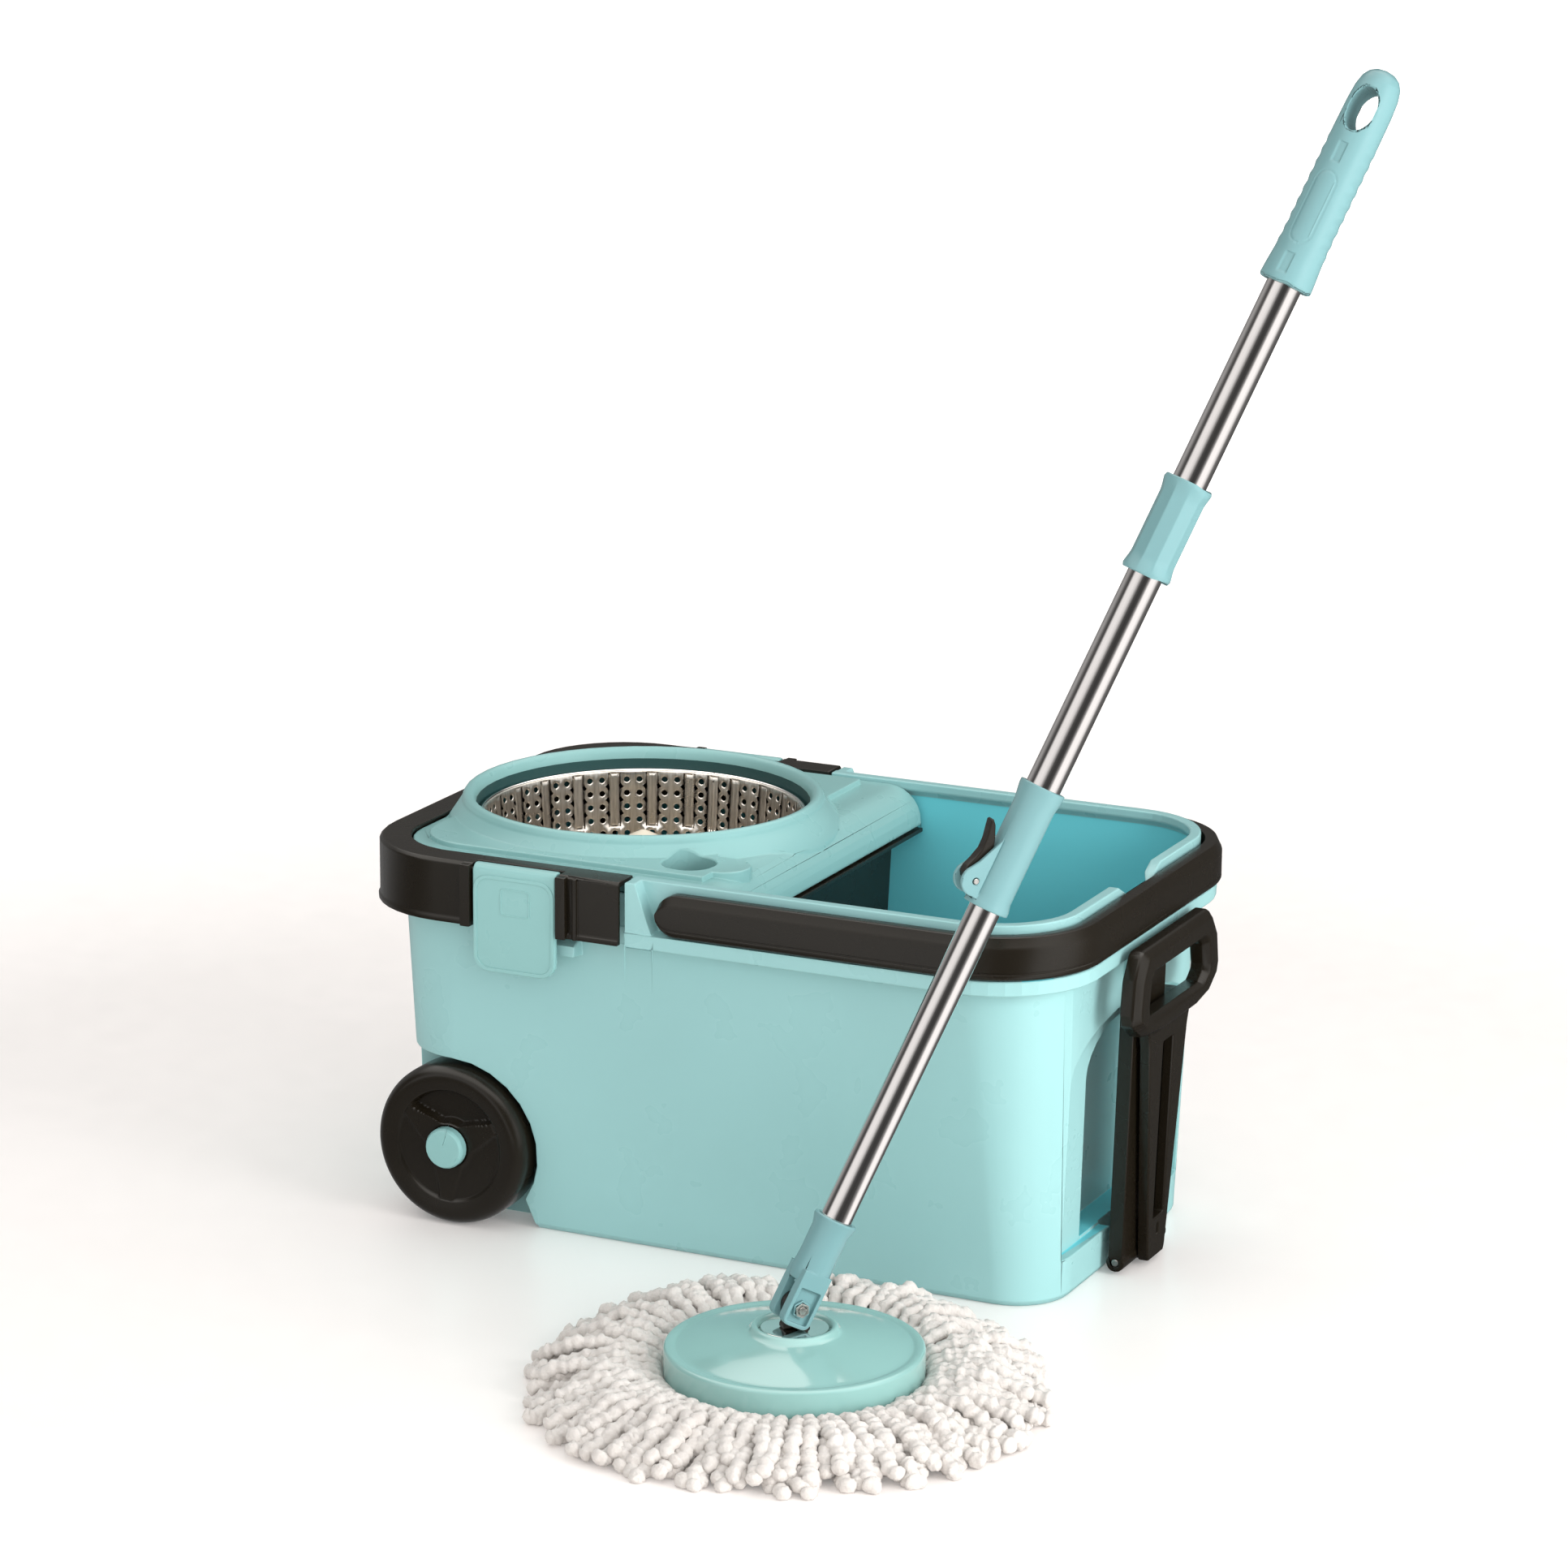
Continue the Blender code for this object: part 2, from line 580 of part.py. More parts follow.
def make_wheel(name, side):
    out, inn = -WHEEL_OUT, -WHEEL_IN
    bore = AXLE_R + GAP
    profile = [
        (bore, inn), (0.0480, inn), (0.0530, inn - 0.003), (WHEEL_R, inn - 0.010), (WHEEL_R, out + 0.010),
        (0.0540, out + 0.004), (0.0505, out), (0.0460, out), (0.0435, out + 0.003), (0.0425, out + 0.010),
        (0.0180, out + 0.010), (0.0165, out + 0.002), (bore, out + 0.002),
    ]
    wheel = turned(name, profile, 36, (WHEEL_X, 0.0, WHEEL_R), "Y", closed=True)
    for angle in (90, 210, 330):
        cut(wheel, spoke_pocket(angle))
    swap_side(wheel, side)
    set_origin(wheel, (WHEEL_X, 0.0, WHEEL_R))
    return finish(wheel, BLACK)


def make_hub_cap(name, side):
    low, top = -WHEEL_OUT + 0.0017, -WHEEL_OUT - 0.0075
    profile = [
        (0.0, low), (0.0132, low), (HUB_CAP_R, low - 0.001), (HUB_CAP_R, top + 0.003),
        (0.0126, top + 0.0006), (0.0, top),
    ]
    cap = turned(name, profile, 24, (WHEEL_X, 0.0, WHEEL_R), "Y")
    swap_side(cap, side)
    set_origin(cap, (WHEEL_X, 0.0, WHEEL_R))
    return finish(cap, TEAL)


def make_wheels():
    for name, side in (("front", -1), ("back", 1)):
        make_wheel("wheel_" + name, side)
        make_hub_cap("hub_cap_" + name, side)
    end = WHEEL_OUT - 0.0024
    finish(rod("wheel_axle", AXLE_R, -end, end, (WHEEL_X, 0.0, WHEEL_R), "Y"), STEEL)


# ---------------------------------------------------------------- pull handle
def capsule(start, end, end_radius, half):
    """Outline of a straight arm with a round eye at both ends."""
    along = (Vector(end) - Vector(start)).normalized()
    turn = math.degrees(math.atan2(along.y, along.x))
    spread = math.degrees(math.asin(half / end_radius))
    points = arc(start, end_radius, turn + spread, turn + 360 - spread, 10)
    points += arc(end, end_radius, turn - 180 + spread, turn + 180 - spread, 10)
    return points


def make_pull_arm_inner():
    outline = capsule(PULL_HINGE, PULL_KNUCKLE, 0.0062, 0.0050)
    arm = prism("pull_arm_inner", outline, -PULL_HALF, PULL_HALF, "Y")
    for side in (-1, 1):
        low, high = sorted((side * 0.015, side * 0.060))
        cut(arm, box("beside_neck", (0.200, low, PULL_NECK_Z), (0.300, high, 0.300)))
    knuckle_x, knuckle_z = PULL_KNUCKLE
    cut(arm, box("fork_gap", (0.220, -0.0095, -0.010), (0.270, 0.0095, knuckle_z + 0.016)))
    for x, z in (PULL_HINGE, PULL_KNUCKLE):
        cut(arm, rod("bore", 0.0028, -0.040, 0.040, (x, 0.0, z), "Y", 12))
    set_origin(arm, (PULL_HINGE[0], 0.0, PULL_HINGE[1]))
    return finish(arm, BLACK)


def mirrored(half_outline):
    """A closed outline from its +Y half, listed from bottom to top."""
    return half_outline + [(-y, z) for y, z in reversed(half_outline)]


def flared(name, outline, levels, grow):
    """Extrude a YZ outline along X through three levels; the last ring grows about the outline's middle."""
    middle = (min(z for y, z in outline) + max(z for y, z in outline)) / 2
    half_y = max(y for y, z in outline)
    half_z = max(z for y, z in outline) - middle
    rings = [[(x, y, z) for y, z in outline] for x in levels[:2]]
    wide, tall = 1 + grow / half_y, 1 + grow / half_z
    rings.append([(levels[2], y * wide, middle + (z - middle) * tall) for y, z in outline])
    return loft(name, rings)


def make_grip_loop():
    """Hand-wide loop with chamfered edges."""
    outer = mirrored([(0.0330, 0.1660), (0.0560, 0.1700), (0.0700, 0.1800), (0.0725, 0.1880),
                      (0.0690, 0.2110), (0.0600, 0.2250), (0.0560, 0.2270)])
    inner = mirrored([(0.0420, 0.1810), (0.0500, 0.1865), (0.0510, 0.1910), (0.0480, 0.2050), (0.0430, 0.2095)])
    loop = flared("loop", outer, (0.2575, 0.2660, 0.2710), -0.0045)
    cut(loop, flared("window", inner, (0.2000, 0.2665, 0.2715), 0.0035))
    return loop


def make_pull_arm_outer():
    blade = mirrored([(0.0130, 0.0040), (0.0150, 0.0080), (0.0330, 0.1560), (0.0370, 0.1700), (0.0370, 0.1750)])
    arm = prism("pull_arm_outer", blade, 0.2512, 0.2585, "X")
    cut(arm, box("slot", (0.200, -0.0090, 0.0320), (0.300, 0.0090, 0.1540)))
    cut(arm, box("key_slot", (0.200, -0.0013, 0.0190), (0.300, 0.0013, 0.0270)))
    shear = Matrix.Identity(4)
    shear[0][2] = PULL_SLOPE
    shear[0][3] = -PULL_SLOPE * PULL_KNUCKLE[1]
    arm.data.transform(shear)
    join(arm, make_grip_loop())
    knuckle_x, knuckle_z = PULL_KNUCKLE
    tongue = arc(PULL_KNUCKLE, 0.0060, 75, 285, 9) + [(0.2530, knuckle_z - 0.0040), (0.2530, knuckle_z + 0.0058)]
    join(arm, prism("tongue", tongue, -0.009, 0.009, "Y"))
    cut(arm, rod("bore", 0.0028, -0.040, 0.040, (knuckle_x, 0.0, knuckle_z), "Y", 12))
    set_origin(arm, (knuckle_x, 0.0, knuckle_z))
    return finish(arm, BLACK)


def make_pull_handle():
    make_pull_arm_inner()
    make_pull_arm_outer()
    pins = (("pull_hinge_pin", PULL_HINGE, 0.0225), ("pull_knuckle_pin", PULL_KNUCKLE, PULL_HALF))
    for name, (x, z), half in pins:
        finish(rod(name, 0.0025, -half, half, (x, 0.0, z), "Y", 12), STEEL)


# ---------------------------------------------------------------- mop head
def turned_in_place(name, profile, look, steps, parent, closed=True):
    return finish(turned(name, profile, steps, closed=closed), look, parent)


def make_tongue(head, turn):
    """Black plate that stands on the steel disc and takes the fork's bolt."""
    half, foot = 0.0080, 0.0088
    outline = [(-foot, 0.0480), (foot, 0.0480), (foot, 0.0500), (half, 0.0512)]
    outline += arc((0.0, BOLT_Z), half, 0, 180, 10) + [(-half, 0.0512), (-foot, 0.0500)]
    tongue = prism("mop_tongue", outline, -0.0040, 0.0040, "Y")
    cut(tongue, rod("bore", 0.0028, -0.020, 0.020, (0.0, 0.0, BOLT_Z), "Y", 12))
    cut(tongue, rod("thread", 0.0024, 0.040, 0.0560, steps=10))
    tongue.data.transform(Matrix.Rotation(turn, 4, "Z"))
    return finish(tongue, BLACK, head)


def make_mop_head(head, turn):
    disc = [
        (0.0050, 0.0424), (0.0280, 0.0424), (0.0750, 0.0326), (0.0770, 0.0308), (0.0770, 0.0175),
        (DISC_R, 0.0175), (DISC_R, 0.0321), (0.0775, 0.0356), (0.0285, 0.0454), (0.0262, 0.0479),
        (0.0240, 0.0490), (0.0218, 0.0479), (0.0215, 0.0452), (0.0050, 0.0452),
    ]
    turned_in_place("mop_disc", disc, TEAL_DEEP, 36, head)
    plate = [(0.0040, 0.0455), (0.0212, 0.0455), (0.0212, 0.0469), (0.0205, 0.0476), (0.0040, 0.0476)]
    turned_in_place("mop_plate", plate, CHROME, 32, head)
    make_tongue(head, turn)
    screw = [(0.0, 0.0384), (0.0060, 0.0384), (0.0060, 0.0420), (0.0020, 0.0420), (0.0020, 0.0555), (0.0, 0.0555)]
    turned_in_place("head_screw", screw, STEEL, 16, head, closed=False)
    backing = [
        (0.0600, 0.0082), (0.0765, 0.0082), (0.0765, 0.0220), (0.0745, 0.0220), (0.0745, 0.0110), (0.0600, 0.0110),
    ]
    turned_in_place("refill_ring", backing, WHITE, 32, head)
    fringe = [
        (0.0560, 0.0), (0.1560, 0.0), (FRINGE_R, 0.0060), (0.1610, 0.0130), (0.1480, 0.0190), (0.1200, 0.0230),
        (0.0950, 0.0220), (0.0830, 0.0185), (0.0812, 0.0165), (0.0808, 0.0075), (0.0560, 0.0075),
    ]
    turned_in_place("mop_fringe", fringe, FIBRE, 32, head)


# ---------------------------------------------------------------- mop pole
def make_fork(pole):
    neck = [
        (0.0, 0.0155), (0.0114, 0.0155), (0.0124, 0.0220), (0.0118, 0.0340), (0.0120, 0.0500),
        (0.0138, FORK_TOP - 0.0015), (0.0136, FORK_TOP), (0.0, FORK_TOP),
    ]
    fork = turned("fork", neck, 32)
    corner, half, foot = 0.0045, 0.0095, -0.0115
    outline = [(half, 0.0240), (-half, 0.0240)]
    outline += arc((-half + corner, foot + corner), corner, 180, 270, 4)
    outline += arc((half - corner, foot + corner), corner, 270, 360, 4)
    for side in (-1, 1):
        low, high = sorted((side * 0.0045, side * 0.0122))
        join(fork, prism("cheek", outline, low, high, "Y"))
        low, high = sorted((side * 0.0092, side * 0.0200))
        cut(fork, box("recess", (-0.0070, low, -0.0088), (0.0070, high, 0.0130)))
    cut(fork, rod("socket", LOWER_R + GAP, 0.0235, 0.080, steps=32))
    cut(fork, rod("bore", 0.0028, -0.030, 0.030, axis="Y", steps=12))
    return finish(fork, TEAL, pole)


def make_fork_fasteners(pole):
    bolt = [
        (0.0, -0.0125), (0.0042, -0.0125), (0.0046, -0.0110), (0.0046, -0.0095),
        (0.0025, -0.0095), (0.0025, 0.0133), (0.0, 0.0133),
    ]
    finish(turned("fork_bolt", bolt, 16, axis="Y"), STEEL, pole)
    flats = [(0.0031, 0.0095), (0.0047, 0.0095), (0.0047, 0.0128), (0.0031, 0.0128)]
    nut = turned("fork_nut", flats, 6, axis="Y", closed=True)
    finish(nut, STEEL, pole)


def drive_screw():
    """Flat bar twisted at a constant lead; it meets its nut square on."""
    half_wide, half_thick = SCREW_SIZE[0] / 2, SCREW_SIZE[1] / 2
    nut_middle = (NUT_LOW + NUT_TOP) / 2
    length = PLUG_LOW - GAP - SCREW_LOW
    steps = 84
    corners = [(half_wide, half_thick), (-half_wide, half_thick), (-half_wide, -half_thick), (half_wide, -half_thick)]
    rings = []
    for step in range(steps + 1):
        level = SCREW_LOW + length * step / steps
        twist = Matrix.Rotation(2 * math.pi * (level - nut_middle) / SCREW_LEAD, 2)
        rings.append([(*(twist @ Vector(corner)), level) for corner in corners])
    return loft("drive_screw", rings)


def make_drive(pole):
    nut = rod("drive_nut", LOWER_R - TUBE_WALL - GAP, NUT_LOW, NUT_TOP, steps=24)
    cut(nut, box("slot", (-0.0044, -0.0019, 0.5), (0.0044, 0.0019, 0.6)))
    finish(nut, STEEL, pole)
    inside = LOWER_R - TUBE_WALL - GAP
    cap = [
        (0.0055, NUT_TOP + GAP), (inside, NUT_TOP + GAP), (inside, LOWER_END + GAP), (0.0098, LOWER_END + GAP),
        (0.0098, LOWER_END + 0.005), (0.0055, LOWER_END + 0.005),
    ]
    finish(turned("nut_cap", cap, 24, closed=True), BLACK, pole)
    finish(drive_screw(), STEEL, pole)
    finish(rod("screw_plug", 0.0100, PLUG_LOW, PLUG_TOP, steps=24), BLACK, pole)


def make_tubes(pole):
    tubes = (
        ("lower_tube", LOWER_R, 0.0240, LOWER_END),
        ("upper_tube_low", UPPER_R, UPPER_LOW, 0.5190),
        ("upper_tube_high", UPPER_R, 0.5210, GRIP_TOP - 0.046),
    )
    for name, radius, low, top in tubes:
        finish(tube(name, radius, radius - TUBE_WALL, low, top), CHROME, pole)
    bush = tube("clamp_bush", 0.0122, LOWER_R + 0.00025, BUSH_LOW, BUSH_TOP)
    finish(bush, BLACK, pole)


def lever_space(obj):
    """Turn a piece drawn in the lever's own plane to where the lever stands."""
    obj.data.transform(Matrix.Rotation(LEVER_TURN, 4, "Z"))
    return obj


def make_clamp(pole):
    bore = UPPER_R + GAP
    profile = [
        (0.0103, CLAMP_LOW), (0.0143, CLAMP_LOW), (0.0143, CLAMP_LOW + 0.003), (0.0131, CLAMP_LOW + 0.008),
        (0.0130, CLAMP_TOP - 0.013), (0.0145, CLAMP_TOP - 0.003), (0.0145, CLAMP_TOP), (bore, CLAMP_TOP),
        (bore, BUSH_TOP + 0.002), (0.0125, BUSH_TOP + 0.0015), (0.0125, CLAMP_LOW + 0.0022), (0.0103, CLAMP_LOW + 0.002),
    ]
    clamp = turned("pole_clamp", profile, 32, closed=True)
    pivot = (0.0175, 0.2800)
    outline = arc(pivot, 0.0095, -105, 45, 10) + [(0.0205, 0.2920), (0.0120, 0.3100), (0.0120, 0.2690)]
    for side in (-1, 1):
        low, high = sorted((side * 0.0038, side * 0.0066))
        join(clamp, lever_space(prism("ear", outline, low, high, "Y")))
    cut(clamp, rod("core", 0.01249, CLAMP_LOW + 0.0023, BUSH_TOP + 0.0014, steps=32))
    cut(clamp, rod("core", bore - 0.00001, BUSH_TOP - 0.001, 0.400, steps=32))
    cut(clamp, lever_space(rod("rivet_bore", 0.0022, -0.020, 0.020, (*pivot[:1], 0.0, pivot[1]), "Y", 12)))
    finish(clamp, TEAL, pole)
    lever = [(pivot[0] + x / 1000, pivot[1] + z / 1000) for x, z in lever_outline()]
    handle = prism("clamp_lever", lever, -0.0035, 0.0035, "Y")
    cut(handle, rod("bore", 0.0022, -0.020, 0.020, (pivot[0], 0.0, pivot[1]), "Y", 12))
    finish(lever_space(handle), BLACK, pole)
    rivet = rod("lever_rivet", 0.0019, -0.0074, 0.0074, (pivot[0], 0.0, pivot[1]), "Y", 12)
    finish(lever_space(rivet), STEEL, pole)


def lever_outline():
    """S-shaped lever in millimetres from its rivet: out, then along the pole."""
    eye = arc((0.0, 0.0), 4.0, 160, 325, 7)
    back = [(6.4, -0.8), (8.4, 2.0), (8.2, 6.5), (5.8, 12.5), (3.9, 19.0), (4.1, 26.0), (5.7, 33.0), (6.6, 37.4)]
    front = [(5.4, 38.4), (2.6, 35.6), (-1.0, 28.5), (-3.4, 21.5), (-3.9, 14.0), (-3.4, 8.0)]
    return eye + back + front


def make_middle_sleeve(pole):
    bore = UPPER_R + GAP
    profile = [
        (bore, MID_LOW), (0.0160, MID_LOW), (0.0157, MID_LOW + 0.003), (0.0140, MID_LOW + 0.012),
        (0.0140, MID_TOP - 0.012), (0.0157, MID_TOP - 0.003), (0.0160, MID_TOP), (bore, MID_TOP),
    ]
    finish(turned("middle_sleeve", profile, 32, closed=True), TEAL, pole)


def make_grip(pole):
    profile = [
        (0.0, GRIP_LOW), (0.0162, GRIP_LOW), (0.0168, GRIP_LOW + 0.004), (0.0162, GRIP_LOW + 0.012),
        (0.0152, GRIP_LOW + 0.030), (0.0150, GRIP_TOP - 0.045), (0.0146, GRIP_TOP - 0.020),
        (0.0130, GRIP_TOP - 0.008), (0.0085, GRIP_TOP - 0.002), (0.0, GRIP_TOP),
    ]
    grip = turned("grip", profile, 28)
    cut(grip, rod("socket", UPPER_R + GAP, 0.600, GRIP_TOP - 0.0455, steps=32))
    hang = [(x, GRIP_TOP - 0.0275 + z) for x, z in arc((0.0, 0.0), 0.0135, 0, 345, 23)]
    hole = prism("hang_hole", [(x * 0.62, z) for x, z in hang], -0.030, 0.030, "Y")
    hole.data.transform(Matrix.Rotation(math.radians(-48.0), 4, "Z"))
    cut(grip, hole)
    finish(grip, TEAL_DEEP, pole)


def add_empty(name, matrix):
    empty = bpy.data.objects.new(name, None)
    empty.matrix_world = matrix
    bpy.context.scene.collection.objects.link(empty)
    return empty


def pole_matrix():
    """Pole frame at the bolt: Z up the pole, Y along the bolt."""
    along = Vector(POLE_LEAN).normalized()
    across = Vector((POLE_LEAN[1], -POLE_LEAN[0], 0.0)).normalized()
    side = across.cross(along)
    turn = Matrix((side, across, along)).transposed().to_4x4()
    return Matrix.Translation((MOP_X, MOP_Y, BOLT_Z)) @ turn


def make_bucket():
    make_bucket_shell()
    make_collar()
    make_tray()
    make_divider_panel()
    make_basket_cradle()
    make_spindle()
    make_basket()
    make_latches()
    make_bail()
    make_wheels()
    make_pull_handle()


def make_mop():
    head = add_empty("mop_centre", Matrix.Translation((MOP_X, MOP_Y, 0.0)))
    pole = add_empty("pole_frame", pole_matrix())
    make_mop_head(head, math.atan2(-POLE_LEAN[0], POLE_LEAN[1]) - math.pi / 2)
    make_fork(pole)
    make_fork_fasteners(pole)
    make_drive(pole)
    make_tubes(pole)
    make_clamp(pole)
    make_middle_sleeve(pole)
    make_grip(pole)


clear_scene()
make_bucket()
make_mop()
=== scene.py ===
"""Looks of the spin mop set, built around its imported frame.  Metres, +Z up."""
import json
import math

import bmesh
import bpy
import numpy as np
from mathutils import Matrix, Vector


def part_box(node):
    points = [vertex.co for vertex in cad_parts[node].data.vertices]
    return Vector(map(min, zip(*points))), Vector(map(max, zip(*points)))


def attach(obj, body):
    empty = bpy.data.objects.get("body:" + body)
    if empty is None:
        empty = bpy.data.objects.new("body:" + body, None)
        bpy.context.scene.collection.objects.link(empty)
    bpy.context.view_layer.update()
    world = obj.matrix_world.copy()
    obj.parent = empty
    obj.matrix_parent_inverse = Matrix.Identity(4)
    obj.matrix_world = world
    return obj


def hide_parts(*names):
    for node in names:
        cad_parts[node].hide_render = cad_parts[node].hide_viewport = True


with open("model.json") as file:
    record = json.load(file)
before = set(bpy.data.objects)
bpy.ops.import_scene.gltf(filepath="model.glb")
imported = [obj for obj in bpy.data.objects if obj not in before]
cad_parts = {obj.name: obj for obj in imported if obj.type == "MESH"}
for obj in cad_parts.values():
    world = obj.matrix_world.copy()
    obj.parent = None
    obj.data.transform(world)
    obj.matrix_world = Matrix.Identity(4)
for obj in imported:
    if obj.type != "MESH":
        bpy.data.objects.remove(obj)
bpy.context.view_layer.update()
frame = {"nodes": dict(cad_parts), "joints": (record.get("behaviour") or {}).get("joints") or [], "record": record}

BEHAVIOUR = frame["record"]["behaviour"]
BODY_OF = {node: body for body, nodes in BEHAVIOUR["bodies"].items() for node in nodes}
SLOT_OF = {part["node"]: part["material_slot"] for part in frame["record"]["subparts"]}
JOINT = {joint["name"]: joint for joint in frame["joints"]}

# ---------------------------------------------------------------- sizes taken from the frame
BASKET_C = Vector(JOINT["basket_spin"]["pos_m"])
WHEEL_C = Vector(JOINT["wheel_front_spin"]["pos_m"])
BAIL_C = Vector(JOINT["bail_swing"]["pos_m"])
BOLT = Vector(JOINT["pole_tilt"]["pos_m"])
ALONG = Vector(JOINT["pole_slide"]["axis"]).normalized()
ACROSS = -Vector(JOINT["pole_tilt"]["axis"]).normalized()
POLE = Matrix.Translation(BOLT) @ Matrix((ACROSS.cross(ALONG), ACROSS, ALONG)).transposed().to_4x4()
MOP = Matrix.Translation((BOLT.x, BOLT.y, 0.0))
BASKET = Matrix.Translation((BASKET_C.x, BASKET_C.y, 0.0))


# ---------------------------------------------------------------- materials
class Nodes:
    """A material's node tree, with short calls to add and join nodes."""

    def __init__(self, name):
        self.material = bpy.data.materials.new(name)
        self.material.use_nodes = True
        self.tree = self.material.node_tree
        self.shader = self.tree.nodes["Principled BSDF"]
        self.place = self.add("ShaderNodeTexCoord").outputs["Object"]

    def add(self, kind, **values):
        node = self.tree.nodes.new(kind)
        for key, value in values.items():
            setattr(node, key, value)
        return node

    def link(self, output, socket):
        self.tree.links.new(output, socket)

    def set(self, **values):
        """Uniform values for the shader's sockets, by name."""
        for key, value in values.items():
            self.shader.inputs[key.replace("_", " ")].default_value = value

    def drive(self, **outputs):
        """Join outputs to the shader's sockets, by name."""
        for key, output in outputs.items():
            self.link(output, self.shader.inputs[key.replace("_", " ")])

    def stretch(self, scale):
        mapping = self.add("ShaderNodeMapping")
        mapping.inputs["Scale"].default_value = scale
        self.link(self.place, mapping.inputs["Vector"])
        return mapping.outputs["Vector"]

    def noise(self, scale, detail=3.0, rough=0.5, where=None):
        node = self.add("ShaderNodeTexNoise")
        node.inputs["Scale"].default_value = scale
        node.inputs["Detail"].default_value = detail
        node.inputs["Roughness"].default_value = rough
        self.link(where or self.place, node.inputs["Vector"])
        return node.outputs["Fac"]

    def ramp(self, value, low, high, out_low, out_high):
        node = self.add("ShaderNodeMapRange")
        for key, number in zip(("From Min", "From Max", "To Min", "To Max"), (low, high, out_low, out_high)):
            node.inputs[key].default_value = number
        self.link(value, node.inputs["Value"])
        return node.outputs["Result"]

    def blend_colour(self, value, first, second):
        node = self.add("ShaderNodeMix", data_type="RGBA")
        node.inputs[6].default_value = (*first, 1.0)
        node.inputs[7].default_value = (*second, 1.0)
        self.link(value, node.inputs[0])
        return node.outputs[2]

    def bump(self, height, distance, before=None):
        node = self.add("ShaderNodeBump")
        node.inputs["Distance"].default_value = distance
        node.inputs["Strength"].default_value = 1.0
        self.link(height, node.inputs["Height"])
        if before is not None:
            self.link(before, node.inputs["Normal"])
        self.link(node.outputs["Normal"], self.shader.inputs["Normal"])
        return node.outputs["Normal"]


GRAIN = 0.000009                # depth of the fine grain on moulded plastic


def shade(colour, factor):
    return tuple(min(1.0, channel * factor) for channel in colour)


def plastic(name, colour, rough, wave=0.00012, shine=0.5):
    """Injection-moulded plastic: slow sink waves, fine grain and slightly uneven colour and gloss."""
    made = Nodes(name)
    slow = made.noise(7.0, 1.0)
    fine = made.noise(1500.0, 2.0)
    smear = made.noise(24.0, 3.0, 0.55)
    uneven = made.ramp(slow, 0.35, 0.65, 0.0, 1.0)
    made.drive(Base_Color=made.blend_colour(uneven, shade(colour, 0.985), shade(colour, 1.015)))
    made.drive(Roughness=made.ramp(smear, 0.3, 0.7, rough * 0.95, rough * 1.07))
    normal = made.bump(slow, wave)
    made.bump(fine, GRAIN, normal)
    made.set(IOR=1.49, Specular_IOR_Level=shine)
    return made


def make_chrome():
    """Polished tube with faint drawing marks and smears."""
    made = Nodes("chrome_tube")
    smear = made.noise(45.0, 4.0, 0.6)
    lines = made.noise(420.0, 2.0, 0.5, made.stretch((1.0, 1.0, 0.04)))
    made.drive(Base_Color=made.blend_colour(smear, (0.74, 0.70, 0.68), (0.82, 0.78, 0.76)))
    made.drive(Roughness=made.ramp(smear, 0.3, 0.7, 0.06, 0.11))
    made.bump(lines, 0.000004)
    made.set(Metallic=1.0)
    return made.material


def make_brushed(name, low, high, rough):
    """Pressed sheet steel with drawing marks down the wall and faint water stains."""
    made = Nodes(name)
    marks = made.noise(700.0, 3.0, 0.6, made.stretch((1.0, 1.0, 0.03)))
    stain = made.noise(28.0, 5.0, 0.65)
    made.drive(Base_Color=made.blend_colour(made.ramp(marks, 0.3, 0.7, 0.0, 1.0), low, high))
    made.drive(Roughness=made.ramp(stain, 0.3, 0.7, rough * 0.7, rough * 1.3))
    made.bump(marks, 0.00002)
    made.set(Metallic=1.0)
    return made.material


def make_microfibre():
    """Off-white chenille: short fibres, soft shading with shade painted into the hollows of its tufts, and a light
    sheen.
    """
    made = Nodes("microfibre_chenille")
    tuft = made.noise(320.0, 4.0, 0.65)
    fibre = made.noise(2400.0, 2.0, 0.7)
    dust = made.noise(24.0, 3.0)
    warm = made.blend_colour(made.ramp(dust, 0.35, 0.65, 0.0, 1.0), (0.70, 0.66, 0.625), (0.75, 0.715, 0.68))
    mix = made.add("ShaderNodeMix", data_type="RGBA", blend_type="MULTIPLY")
    mix.inputs[0].default_value = 0.5
    made.link(warm, mix.inputs[6])
    # Painted shade: where the tuft bump is low the colour is darkened.
    tuft_shade = made.blend_colour(made.ramp(tuft, 0.3, 0.6, 0.0, 1.0), (0.84, 0.82, 0.80), (1, 1, 1))
    made.link(tuft_shade, mix.inputs[7])
    made.drive(Base_Color=mix.outputs[2])
    made.drive(Roughness=made.ramp(fibre, 0.3, 0.7, 0.85, 1.0))
    normal = made.bump(tuft, 0.0012)
    made.bump(fibre, 0.0003, normal)
    made.set(Sheen_Weight=0.35, Sheen_Roughness=0.5, Specular_IOR_Level=0.2)
    return made.material


